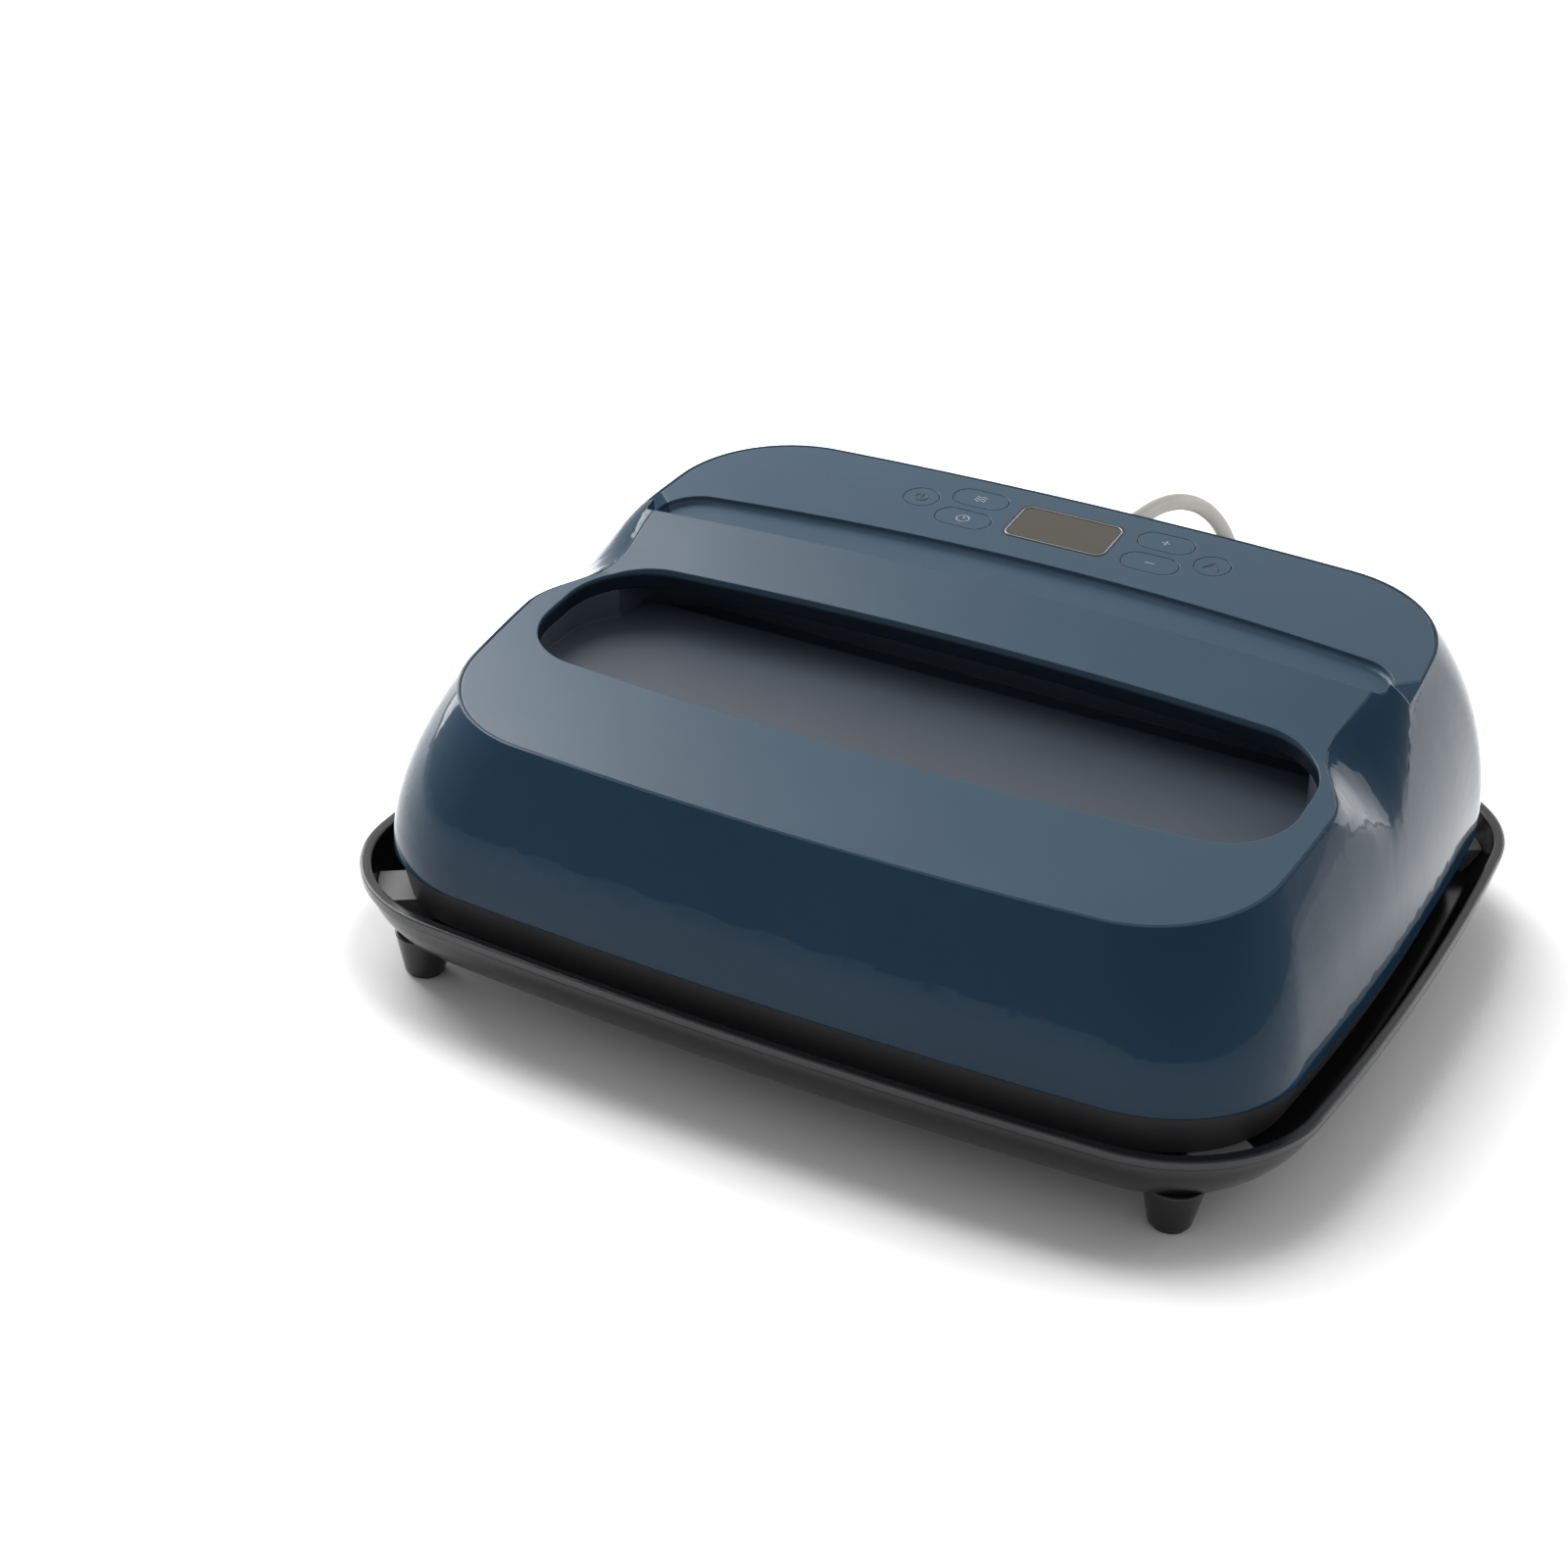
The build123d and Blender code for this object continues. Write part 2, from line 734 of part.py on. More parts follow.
# Skirt frame between the shell and the heat plate
skirt_ceiling_low = shell_bottom - skirt_ceiling


def skirt_section(height, inset):
    outline = bowed_rectangle(
        shell_length - 2 * inset, shell_depth - 2 * inset, shell_bow, shell_corner - inset)
    return Pos(0, 0, height) * outline


skirt_foot = skirt_section(skirt_bottom, skirt_top_inset + skirt_taper)
skirt = loft([skirt_foot, skirt_section(shell_bottom, skirt_top_inset)])
skirt -= rounded_block(
    plate_length + 2 * plate_gap, plate_depth + 2 * plate_gap, plate_corner + plate_gap,
    skirt_bottom - overrun, skirt_ceiling_low)
skirt -= rounded_block(
    skirt_opening_length, skirt_opening_depth, skirt_opening_corner, skirt_bottom, shell_bottom + overrun)
rib_inset = shell_wall + seam_gap
rib_ring = extrude(skirt_section(shell_bottom, rib_inset), skirt_rib) - extrude(
    skirt_section(shell_bottom, rib_inset + skirt_rib_wall), skirt_rib)
for x, y in case_places:
    rib_ring -= Pos(x, y, 0) * rod(case_boss_radius + seat_gap, shell_bottom, shell_bottom + overrun)
skirt += rib_ring
sink_top = skirt_bottom + case_screw_sink
for x, y in case_places:
    skirt -= Pos(x, y, 0) * rod(clear_radius, skirt_bottom, shell_bottom)
    skirt -= Pos(x, y, 0) * rod(screw_head_radius + screw_hole_gap, skirt_bottom - overrun, sink_top)
along_x = plate_screw_x_share * plate_length / 2
along_y = plate_screw_y_share * plate_depth / 2
plate_places = [(x * plate_screw_x, y * along_y) for x in sides for y in sides]
plate_places += [(x * along_x, y * plate_screw_y) for x in sides for y in sides]
for x, y in plate_places:
    skirt -= Pos(x, y, 0) * rod(clear_radius, skirt_ceiling_low - fit_gap, shell_bottom + fit_gap)
write("skirt_frame", skirt)
write("case_screws", group(
    Pos(x, y, 0) * screw(sink_top, boss_top - 2 * boss_cap, -1) for x, y in case_places))

# Heat plate with its heater rod, sensor and cut-out
plate_top = plate_bottom + plate_thickness
element_height = plate_top + element_sink
element_pitch = (plate_depth - 2 * element_side) / (len(element_row_shares) - 1)
element_points = []
for index, row in enumerate(element_row_shares):
    ends = [(element_reach, row * element_pitch), (-element_reach, row * element_pitch)]
    element_points += ends if index % 2 == 0 else ends[::-1]
element_path = Pos(0, 0, element_height) * FilletPolyline(
    *element_points, radius=element_bend_share * element_pitch)
element_ends = [element_points[0], element_points[-1]]
post_top = element_height + element_post_height
element = tube(element_path, element_radius)
for x, y in element_ends:
    element += Pos(x, y, 0) * rod(element_post_radius, element_height, post_top)
    element += Pos(x, y, element_height) * Sphere(element_radius)
plate = rounded_block(plate_length, plate_depth, plate_corner, plate_bottom, plate_top)
plate = fillet(plate.edges().group_by(Axis.Z)[0], plate_edge_round)
groove_cut = tube(element_path, element_radius + fit_gap)
for x, y in element_ends:
    groove_cut += Pos(x, y, element_height) * Sphere(element_radius + fit_gap)
plate -= groove_cut
screw_tip = plate_top - plate_screw_depth
for x, y in plate_places:
    plate -= Pos(x, y, 0) * rod(pilot, screw_tip - fit_gap, plate_top + fit_gap)
write("heat_plate", plate)
write("heating_element", element)
write("plate_spacers", group(
    Pos(x, y, 0) * (rod(spacer_radius, plate_top, skirt_ceiling_low)
                    - rod(clear_radius, plate_top, skirt_ceiling_low))
    for x, y in plate_places))
cutout = rod(cutout_radius, plate_top, plate_top + cutout_height)
cutout += block(cutout_ear_length, cutout_ear_width, plate_top, plate_top + cutout_ear)
write("thermal_cutout", Pos(cutout_x, 0, 0) * cutout)
write("temperature_sensor", Pos(sensor_x, 0, 0) * block(
    sensor_length, sensor_width, plate_top, plate_top + sensor_height))

# Insulation mat and heat shield
post_hole = element_post_radius + hole_margin
mat_top = shell_bottom
mat = rounded_block(
    skirt_opening_length - 2 * mat_gap, skirt_opening_depth - 2 * mat_gap, skirt_opening_corner - mat_gap,
    mat_top - mat_thickness, mat_top)
mat -= Pos(cutout_x, 0, 0) * rod(cutout_radius + hole_margin, plate_top, mat_top)
for x, y in element_ends:
    mat -= Pos(x, y, 0) * rod(post_hole, plate_top, mat_top)
write("insulation_mat", mat)
shield_top = shell_bottom + shield_sheet + shield_raise


def shield_hump(drop):
    grown = 2 * shield_slope
    corner = shield_top_corner + shield_slope
    foot = RectangleRounded(shield_top_length + grown, shield_top_depth + grown, corner)
    crest = RectangleRounded(shield_top_length, shield_top_depth, shield_top_corner)
    rise = shield_top - drop
    return loft([Pos(0, 0, rise - shield_raise) * foot, Pos(0, 0, rise) * crest], ruled=True)


shield = rounded_block(
    shield_length, shield_depth, shield_corner, shell_bottom, shell_bottom + shield_sheet) + shield_hump(0)
shield -= shield_hump(shield_sheet)
for x, y in plate_places:
    shield -= Pos(x, y, 0) * rod(clear_radius, shell_bottom, shield_top)
for x, y in element_ends:
    shield -= Pos(x, y, 0) * rod(post_hole, shell_bottom, shield_top)
write("heat_shield", shield)
write("plate_screws", group(
    Pos(x, y, 0) * screw(shell_bottom + shield_sheet, screw_tip, 1) for x, y in plate_places))

# Power board on standoffs, with its parts
power_low = shield_top + standoff_height
power_top = power_low + board_thickness
power_places = [
    (power_x + x * (power_length / 2 - standoff_inset), power_y + y * (power_width / 2 - standoff_inset))
    for x in sides for y in sides
]
power = Pos(power_x, power_y, 0) * block(power_length, power_width, power_low, power_top)
for x, y in power_places:
    power -= Pos(x, y, 0) * rod(clear_radius, power_low, power_top)
write("power_board", power)
write("board_standoffs", group(
    Pos(x, y, 0) * (rod(standoff_radius, shield_top, power_low)
                    - rod(pilot, power_low - screw_engagement, power_low)) for x, y in power_places))
write("power_board_screws", group(
    Pos(x, y, 0) * screw(power_top, power_low - screw_engagement + fit_gap, 1) for x, y in power_places))
row_low = power_y - component_row_share * power_width
row_high = power_y + component_row_share * power_width
left_x, right_x = power_x - component_pitch, power_x + component_pitch
transformer = block(transformer_length, transformer_width, power_top, power_top + transformer_height)
relay = block(relay_length, relay_width, power_top, power_top + relay_height)
header = block(terminal_width, terminal_width / 2, power_top, power_top + terminal_width / 2)
parts = [
    Pos(left_x, row_low, 0) * transformer,
    Pos(power_x, row_low, 0) * relay,
    Pos(right_x, row_low, 0) * rod(capacitor_radius, power_top, power_top + capacitor_height),
    Pos(left_x, row_high, 0) * relay,
    Pos(right_x, row_high, 0) * header,
]
write("power_board_parts", group(parts))
sink = block(sink_length, sink_width, power_top, power_top + sink_height)
channel_width = (sink_width - sink_fins * sink_fin) / (sink_fins - 1)
for gap in range(sink_fins - 1):
    gap_y = -sink_width / 2 + sink_fin + channel_width / 2 + gap * (sink_fin + channel_width)
    sink -= Pos(0, gap_y, 0) * block(
        sink_length + overrun, channel_width, power_top + sink_base, power_top + sink_height + overrun)
write("heat_sink", Pos(power_x, row_high, 0) * sink)

# Terminal block and inner leads
terminal_low = shield_top
terminal_middle = terminal_low + terminal_height / 2
terminal_top = terminal_low + terminal_height
terminal = Pos(cord_x, terminal_y, 0) * block(terminal_length, terminal_width, terminal_low, terminal_top)
for pole in range(terminal_poles):
    pole_x = cord_x + (pole - (terminal_poles - 1) / 2) * terminal_length / terminal_poles
    well = rod(terminal_well_radius, terminal_top - terminal_well, terminal_top + overrun)
    terminal -= Pos(pole_x, terminal_y, 0) * well
write("terminal_block", terminal)
sheath_y = gland_inner - lead_sheath_drop
terminal_rear = terminal_y + terminal_width / 2
sheath = FilletPolyline(
    (cord_x, gland_inner, cord_height), (cord_x, sheath_y, cord_height),
    (cord_x, sheath_y, terminal_middle), (cord_x, terminal_rear, terminal_middle),
    radius=[lead_sheath_bend, lead_sheath_sweep])
write("mains_lead", tube(sheath, lead_sheath_radius))
header_x = right_x + terminal_width / 2
header_z = power_top + terminal_width / 4
lead_ends = [
    (header_x, row_high, header_z),
    (cord_x + terminal_length / 2, terminal_y, terminal_middle),
]
leads = []
for (x, y), (end_x, end_y, end_z) in zip(element_ends, lead_ends):
    lead = FilletPolyline(
        (x, y, post_top), (x, y, post_top + lead_rise),
        (end_x + lead_spread, end_y, end_z), (end_x, end_y, end_z), radius=lead_bend)
    leads.append(tube(lead, lead_radius))
write("element_leads", group(leads))

# Safety base: tray, peg feet, foot pads and corner rest pads
rim_low = tray_rim_height - tray_rim_drop


def tray_section(height, inset):
    sink = (tray_rim_height - height) / (tray_rim_height - tray_bottom)
    lean = tray_taper * sink**2 + inset
    outline = bowed_rectangle(tray_length - 2 * lean, tray_depth - 2 * lean, tray_bow, tray_corner - lean)
    return Pos(0, 0, height) * outline


def bowl(low, high, inset):
    return loft([tray_section(low + share * (high - low), inset) for share in tray_level_shares])


floor_top = tray_bottom + tray_floor
inner_inset = tray_rim_overhang + tray_wall
tray = bowl(tray_bottom, rim_low, tray_rim_overhang)
tray += loft([tray_section(rim_low, 0), tray_section(tray_rim_height, 0)])
tray -= bowl(floor_top, tray_rim_height, inner_inset)
write("base_tray", tray)
foot_places = [(x * foot_x, y * foot_y) for x in sides for y in sides]
foot_low = foot_pad_height - foot_pad_recess
foot_height = tray_bottom - foot_low
foot = Pos(0, 0, foot_low + foot_height / 2) * Cone(foot_bottom_radius, foot_top_radius, foot_height)
foot -= rod(foot_pad_radius + fit_gap, 0, foot_pad_height)
write("base_feet", group(Pos(x, y, 0) * foot for x, y in foot_places))
write("foot_pads", group(Pos(x, y, 0) * rod(foot_pad_radius, 0, foot_pad_height) for x, y in foot_places))
pad_inset = inner_inset + seat_gap
pad_ring = bowl(floor_top, skirt_bottom, pad_inset)
pad_ring -= bowl(floor_top, skirt_bottom, pad_inset + rest_pad_width)
rest_pads = []
for x in sides:
    for y in sides:
        window = block(3 * rest_pad_width, rest_pad_length, floor_top, skirt_bottom)
        window = Pos(x * rest_pad_x, y * rest_pad_y, 0) * Rot(0, 0, x * y * rest_pad_turn) * window
        rest_pads.append(pad_ring & window)
write("rest_pads", group(rest_pads))

# Power cord: a free stretch, then a coil held by a tie, then the plug
coil_low = floor_gap + tie_thickness + tie_gap + cord_radius
coil_high = coil_low + layer_step
coil_outer = coil_radius + coil_turns * turn_step / 2
coil_inner = coil_outer - coil_turns * turn_step
coil_left = coil_x - coil_outer
coil_start = Vector(coil_left, coil_y + cord_diameter, coil_low)
points = [Vector(cord_x, boot_tip, cord_height), Vector(cord_x, boot_tip + cord_first_run, cord_height)]
points += [Vector(*point) for point in cord_route]
points += [Vector(coil_left, coil_y + coil_lead_in, coil_low), coil_start]
runs = [after - before for before, after in zip(points, points[1:])]
radii = []
for before, after in zip(runs, runs[1:]):
    half_turn = radians(before.get_angle(after)) / 2
    radii.append(cord_bend_share * min(before.length, after.length) / tan(half_turn))
cord_path = FilletPolyline(*points, radius=radii)
cord = tube(cord_path, cord_radius)
cord_section = pi * cord_radius**2
print("cord runs", [round(run.length, 1) for run in runs])
print("cord radii", [round(radius, 1) for radius in radii])
print("cord volume share", round(cord.volume / (cord_path.length * cord_section), 4))
print("cord length", round(cord_path.length), "lowest", round(cord.bounding_box().min.Z, 2))
write("power_cord", cord)


# Coil: half turns that spiral in on the floor layer, climb, and spiral out again on the next
def biarc(start, start_way, end, end_way):
    gap = end - start
    both = start_way + end_way
    spread = 2 * (1 - start_way.dot(end_way))
    along = gap.dot(both)
    reach = (-along + sqrt(along**2 + spread * gap.dot(gap))) / spread
    middle = (start + start_way * reach + end - end_way * reach) / 2
    way = (end - end_way * reach - start - start_way * reach).normalized()
    return [TangentArc(start, middle, tangent=start_way), TangentArc(middle, end, tangent=way)]


half_turns = 2 * coil_turns
marks = [(coil_outer - half * turn_step / 2, coil_low) for half in range(half_turns + 1)]
marks.append((coil_inner - turn_step / 2, coil_high))
marks += [(coil_inner + half * turn_step / 2, coil_high) for half in range(1, half_turns)]
marks.append((coil_outer + plug_offset, coil_high))
places = [Vector(coil_x + (reach if i % 2 else -reach), coil_y, z) for i, (reach, z) in enumerate(marks)]
coil_edges = [Line(coil_start, places[0])]
for index, (start, end) in enumerate(zip(places, places[1:])):
    way = Vector(0, 1 if index % 2 else -1, 0)
    coil_edges += biarc(start, way, end, way * -1)
coil_end = places[-1] + Vector(0, cord_diameter, 0)
coil_edges.append(Line(places[-1], coil_end))
coil_path = Wire([edge.edge() for edge in coil_edges])
coil = tube(coil_path, cord_radius)
count = 1500
samples = [coil_path @ (i / count) for i in range(count + 1)]
skip = int(2 * cord_diameter * count / coil_path.length) + 1
least = min((samples[i] - samples[j]).length for i in range(0, count, 3) for j in range(i + skip, count, 2))
print("coil length", round(coil_path.length), "least gap", round(least - cord_diameter, 2))
print("coil volume share", round(coil.volume / (coil_path.length * cord_section), 4))
write("cord_coil", coil)
tie_inner = coil_inner - turn_step / 2 - cord_radius - tie_gap - tie_slack
tie_outer = coil_outer - turn_step / 4 + cord_radius + tie_gap + tie_slack
tie_low = coil_low - cord_radius - tie_gap
tie_high = coil_high + cord_radius + tie_gap
tie_reach = tie_outer - tie_inner
tie = block(tie_width, tie_reach + 2 * tie_thickness, tie_low - tie_thickness, tie_high + tie_thickness)
tie -= block(tie_width + overrun, tie_reach, tie_low, tie_high)
write("cord_tie", Pos(coil_x, coil_y + (tie_inner + tie_outer) / 2, 0) * tie)

# Plug: neck, moulded body and two flat blades
plug_frame = Plane(origin=coil_end, x_dir=(1, 0, 0), z_dir=(0, 1, 0))
plug_height = 2 * (coil_high - floor_gap - seat_gap)
body_start = plug_neck
body_end = plug_neck + plug_length
waist = RectangleRounded(plug_width - plug_round, plug_height - plug_round, plug_round)
face = RectangleRounded(plug_width, plug_height, plug_round)
plug = Pos(0, 0, plug_neck / 2) * Cone(plug_tip_radius, plug_neck_radius, plug_neck)
plug += loft([Pos(0, 0, body_start) * waist, Pos(0, 0, body_end) * face], ruled=True)
write("plug_body", plug_frame * plug)
blades = []
for x in sides:
    blade = rounded_block(blade_thickness, blade_width, blade_round, body_end, body_end + blade_length)
    blades.append(plug_frame * Pos(x * blade_pitch / 2, 0, 0) * blade)
write("plug_blades", group(blades))
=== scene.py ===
from math import atan2, cos, hypot, pi, radians, sin, tan

import bpy
from mathutils import Matrix, Vector


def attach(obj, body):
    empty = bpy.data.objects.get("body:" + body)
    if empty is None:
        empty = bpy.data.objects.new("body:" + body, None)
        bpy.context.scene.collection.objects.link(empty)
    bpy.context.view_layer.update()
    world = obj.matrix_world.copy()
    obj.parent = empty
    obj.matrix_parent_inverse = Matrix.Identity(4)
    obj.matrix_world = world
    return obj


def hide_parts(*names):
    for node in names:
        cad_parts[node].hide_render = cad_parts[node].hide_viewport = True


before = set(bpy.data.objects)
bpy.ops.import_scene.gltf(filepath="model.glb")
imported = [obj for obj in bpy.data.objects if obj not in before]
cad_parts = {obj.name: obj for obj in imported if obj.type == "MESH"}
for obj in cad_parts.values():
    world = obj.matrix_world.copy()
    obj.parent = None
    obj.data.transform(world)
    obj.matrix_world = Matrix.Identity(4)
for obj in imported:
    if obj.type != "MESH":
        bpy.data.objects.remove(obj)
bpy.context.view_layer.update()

# Sizes and places are in millimetres, in the part's own frame
MM = 0.001
DECK_TILT = radians(7.7)
DECK_HEIGHT = 115.0
PANEL_CENTRE = 88.6
PANEL_ROW = 8.05
PILL_X = 37.55
ROUND_X = 58.75


# Small tools

def tone(red, green, blue):
    """A colour as it looks on screen, turned into the linear values that a shader reads."""
    out = []
    for part in (red, green, blue):
        part /= 255
        out.append(part / 12.92 if part <= 0.04045 else ((part + 0.055) / 1.055) ** 2.4)
    return (*out, 1.0)


def clear_selection():
    bpy.ops.object.select_all(action="DESELECT")


def take(piece):
    clear_selection()
    piece.select_set(True)
    bpy.context.view_layer.objects.active = piece
    return piece


def edit(piece, mode="FACE"):
    take(piece)
    bpy.ops.object.mode_set(mode="EDIT")
    bpy.ops.mesh.select_mode(type=mode)
    bpy.ops.mesh.select_all(action="SELECT")


def leave():
    bpy.ops.object.mode_set(mode="OBJECT")


def settle(piece, place):
    """Puts a finished piece at its place and leaves its object at the origin."""
    take(piece)
    piece.matrix_world = place
    bpy.ops.object.transform_apply(location=True, rotation=True, scale=True)
    return piece


def deck(u, v, w=0.0):
    """Place on the sloping top: u to the right, v up the slope, w out of it, in millimetres."""
    y = v * cos(DECK_TILT) - w * sin(DECK_TILT)
    z = DECK_HEIGHT + v * sin(DECK_TILT) + w * cos(DECK_TILT)
    return Matrix.Translation((u * MM, y * MM, z * MM)) @ Matrix.Rotation(DECK_TILT, 4, "X")


# Shared shader effects

def new_effect(name, inputs, outputs):
    tree = bpy.data.node_groups.new(name, "ShaderNodeTree")
    for label, kind, value in inputs:
        socket = tree.interface.new_socket(name=label, in_out="INPUT", socket_type=kind)
        if value is not None:
            socket.default_value = value
    for label, kind in outputs:
        tree.interface.new_socket(name=label, in_out="OUTPUT", socket_type=kind)
    return tree, tree.nodes.new("NodeGroupInput"), tree.nodes.new("NodeGroupOutput")


def noise(tree, vector, scale, detail=3.0, rough=0.5):
    node = tree.nodes.new("ShaderNodeTexNoise")
    node.inputs["Scale"].default_value = scale
    node.inputs["Detail"].default_value = detail
    node.inputs["Roughness"].default_value = rough
    tree.links.new(vector, node.inputs["Vector"])
    return node.outputs["Fac"]


def spread(tree, value, low, high, to_low=0.0, to_high=1.0):
    node = tree.nodes.new("ShaderNodeMapRange")
    for label, number in (("From Min", low), ("From Max", high), ("To Min", to_low), ("To Max", to_high)):
        node.inputs[label].default_value = number
    tree.links.new(value, node.inputs["Value"])
    return node.outputs["Result"]


def combine(tree, operation, first, second):
    node = tree.nodes.new("ShaderNodeMath")
    node.operation = operation
    tree.links.new(first, node.inputs[0])
    tree.links.new(second, node.inputs[1])
    return node.outputs[0]


def moulded_grain():
    """Cloudy tone and fine moulded grit of injection-moulded plastic."""
    tree, source, sink = new_effect(
        "moulded_grain", [("Vector", "NodeSocketVector", None)],
        [("Cloud", "NodeSocketFloat"), ("Grit", "NodeSocketFloat"), ("Smudge", "NodeSocketFloat")])
    vector = source.outputs["Vector"]
    tree.links.new(spread(tree, noise(tree, vector, 9.0, 4.0, 0.55), 0.3, 0.7), sink.inputs["Cloud"])
    tree.links.new(noise(tree, vector, 2600.0, 2.0, 0.6), sink.inputs["Grit"])
    tree.links.new(spread(tree, noise(tree, vector, 32.0, 5.0, 0.62), 0.35, 0.75), sink.inputs["Smudge"])
    return tree


def drawn_lines():
    """Long fine streaks of rolled or drawn metal."""
    tree, source, sink = new_effect(
        "drawn_lines", [("Vector", "NodeSocketVector", None)],
        [("Streak", "NodeSocketFloat"), ("Stain", "NodeSocketFloat")])
    stretch = tree.nodes.new("ShaderNodeMapping")
    stretch.inputs["Scale"].default_value = (6.0, 900.0, 900.0)
    tree.links.new(source.outputs["Vector"], stretch.inputs["Vector"])
    tree.links.new(noise(tree, stretch.outputs["Vector"], 1.0, 4.0, 0.6), sink.inputs["Streak"])
    stain = noise(tree, source.outputs["Vector"], 22.0, 5.0, 0.6)
    tree.links.new(spread(tree, stain, 0.35, 0.7), sink.inputs["Stain"])
    return tree


def crossed_weave():
    """Over and under of a plain woven mat."""
    tree, source, sink = new_effect(
        "crossed_weave", [("Vector", "NodeSocketVector", None)],
        [("Thread", "NodeSocketFloat"), ("Fluff", "NodeSocketFloat")])
    bands = []
    for direction in ("X", "Y"):
        band = tree.nodes.new("ShaderNodeTexWave")
        band.bands_direction = direction
        band.inputs["Scale"].default_value = 160.0
        band.inputs["Distortion"].default_value = 1.4
        tree.links.new(source.outputs["Vector"], band.inputs["Vector"])
        bands.append(band.outputs["Fac"])
    tree.links.new(combine(tree, "MULTIPLY", *bands), sink.inputs["Thread"])
    tree.links.new(noise(tree, source.outputs["Vector"], 420.0, 4.0, 0.65), sink.inputs["Fluff"])
    return tree


EFFECTS = {"grain": moulded_grain(), "drawn": drawn_lines(), "weave": crossed_weave()}


class Finish:
    """One material: a principled shader with an effect's masks on its colour, roughness and surface."""

    def __init__(self, name, effect):
        self.material = bpy.data.materials.new(name)
        self.material.use_nodes = True
        self.tree = self.material.node_tree
        self.shader = self.tree.nodes["Principled BSDF"]
        self.where = self.tree.nodes.new("ShaderNodeTexCoord").outputs["Object"]
        self.effect = self.tree.nodes.new("ShaderNodeGroup")
        self.effect.node_tree = EFFECTS[effect]
        self.tree.links.new(self.where, self.effect.inputs["Vector"])

    def mask(self, label):
        return self.effect.outputs[label]

    def colour(self, mask, low, high):
        mix = self.tree.nodes.new("ShaderNodeMix")
        mix.data_type = "RGBA"
        mix.inputs["A"].default_value = low
        mix.inputs["B"].default_value = high
        self.tree.links.new(mask, mix.inputs["Factor"])
        self.tree.links.new(mix.outputs["Result"], self.shader.inputs["Base Color"])
        return self

    def tint(self, mask, shade):
        """Lays a second colour over the first where the mask is one."""
        first = self.shader.inputs["Base Color"].links[0].from_socket
        mix = self.tree.nodes.new("ShaderNodeMix")
        mix.data_type = "RGBA"
        mix.inputs["B"].default_value = shade
        self.tree.links.new(mask, mix.inputs["Factor"])
        self.tree.links.new(first, mix.inputs["A"])
        self.tree.links.new(mix.outputs["Result"], self.shader.inputs["Base Color"])
        return self

    def along(self, direction, low, high):
        """One past high and nothing before low, measured along a direction of the piece."""
        dot = self.tree.nodes.new("ShaderNodeVectorMath")
        dot.operation = "DOT_PRODUCT"
        dot.inputs[1].default_value = direction
        self.tree.links.new(self.where, dot.inputs[0])
        return spread(self.tree, dot.outputs["Value"], low, high)

    def both(self, first, second):
        return combine(self.tree, "MULTIPLY", first, second)

    def roughness(self, mask, low, high):
        self.tree.links.new(spread(self.tree, mask, 0.0, 1.0, low, high), self.shader.inputs["Roughness"])
        return self

    def relief(self, mask, height, strength=1.0, edge=0.0):
        bump = self.tree.nodes.new("ShaderNodeBump")
        bump.inputs["Strength"].default_value = strength
        bump.inputs["Distance"].default_value = height
        self.tree.links.new(mask, bump.inputs["Height"])
        if edge:
            self.soften(edge, bump.inputs["Normal"])
        self.tree.links.new(bump.outputs["Normal"], self.shader.inputs["Normal"])
        return self

    def soften(self, radius, socket):
        bevel = self.tree.nodes.new("ShaderNodeBevel")
        bevel.samples = 6
        bevel.inputs["Radius"].default_value = radius
        self.tree.links.new(bevel.outputs["Normal"], socket)

    def set(self, **values):
        for label, value in values.items():
            self.shader.inputs[label.replace("_", " ")].default_value = value
        return self


def plastic(name, low, high, rough, grit=0.00002, edge=0.0005):
    finish = Finish(name, "grain")
    finish.colour(finish.mask("Cloud"), low, high)
    finish.roughness(finish.mask("Smudge"), *rough)
    finish.relief(finish.mask("Grit"), grit, 0.6, edge)
    return finish


def metal(name, low, high, rough, relief=0.00003):
    finish = Finish(name, "drawn")
    finish.colour(finish.mask("Stain"), low, high)
    finish.roughness(finish.mask("Streak"), *rough)
    finish.relief(finish.mask("Streak"), relief, 0.5, 0.0003)
    return finish.set(Metallic=1.0)


# Finishes; the walls of the grip slot and the bar's front face carry a painted shade, darker than the deck

SHADE_STARTS, SHADE_FULL = 0.8, 2.0
BAR_FRONT_FULL, BAR_FRONT_ENDS = 3.5, 6.0

shell_gloss = plastic("shell_gloss", tone(27, 57, 78), tone(30, 61, 83), (0.05, 0.09), 0.000001, 0.0007)
shell_gloss.set(Specular_IOR_Level=0.16)
cover_satin = plastic("cover_satin", tone(60, 83, 101), tone(65, 88, 106), (0.30, 0.37), 0.00003, 0.0007)
cover_satin.set(Specular_IOR_Level=0.3)
deck_plane = DECK_HEIGHT * MM * cos(DECK_TILT)
painted_shade_depth = cover_satin.along((0.0, sin(DECK_TILT), -cos(DECK_TILT)),
                               SHADE_STARTS * MM - deck_plane, SHADE_FULL * MM - deck_plane)
painted_shade_front = cover_satin.along((0.0, -1.0, 0.0), -BAR_FRONT_ENDS * MM, -BAR_FRONT_FULL * MM)
# painted shade: dark navy laid on the cover below the deck plane and in front of the bar, where the grip slot
# lies in shade
cover_satin.tint(cover_satin.both(painted_shade_depth, painted_shade_front), tone(17, 26, 37))
liner_satin = plastic("liner_satin", tone(66, 75, 88), tone(71, 80, 93), (0.42, 0.5), 0.00003, 0.0008)
skirt_matt = plastic("skirt_matt", tone(66, 66, 68), tone(72, 72, 74), (0.42, 0.55), 0.00004, 0.0006)
tray_satin = plastic("tray_satin", tone(28, 28, 30), tone(33, 33, 35), (0.16, 0.24), 0.00004, 0.0016)
tray_satin.set(Specular_IOR_Level=0.5)
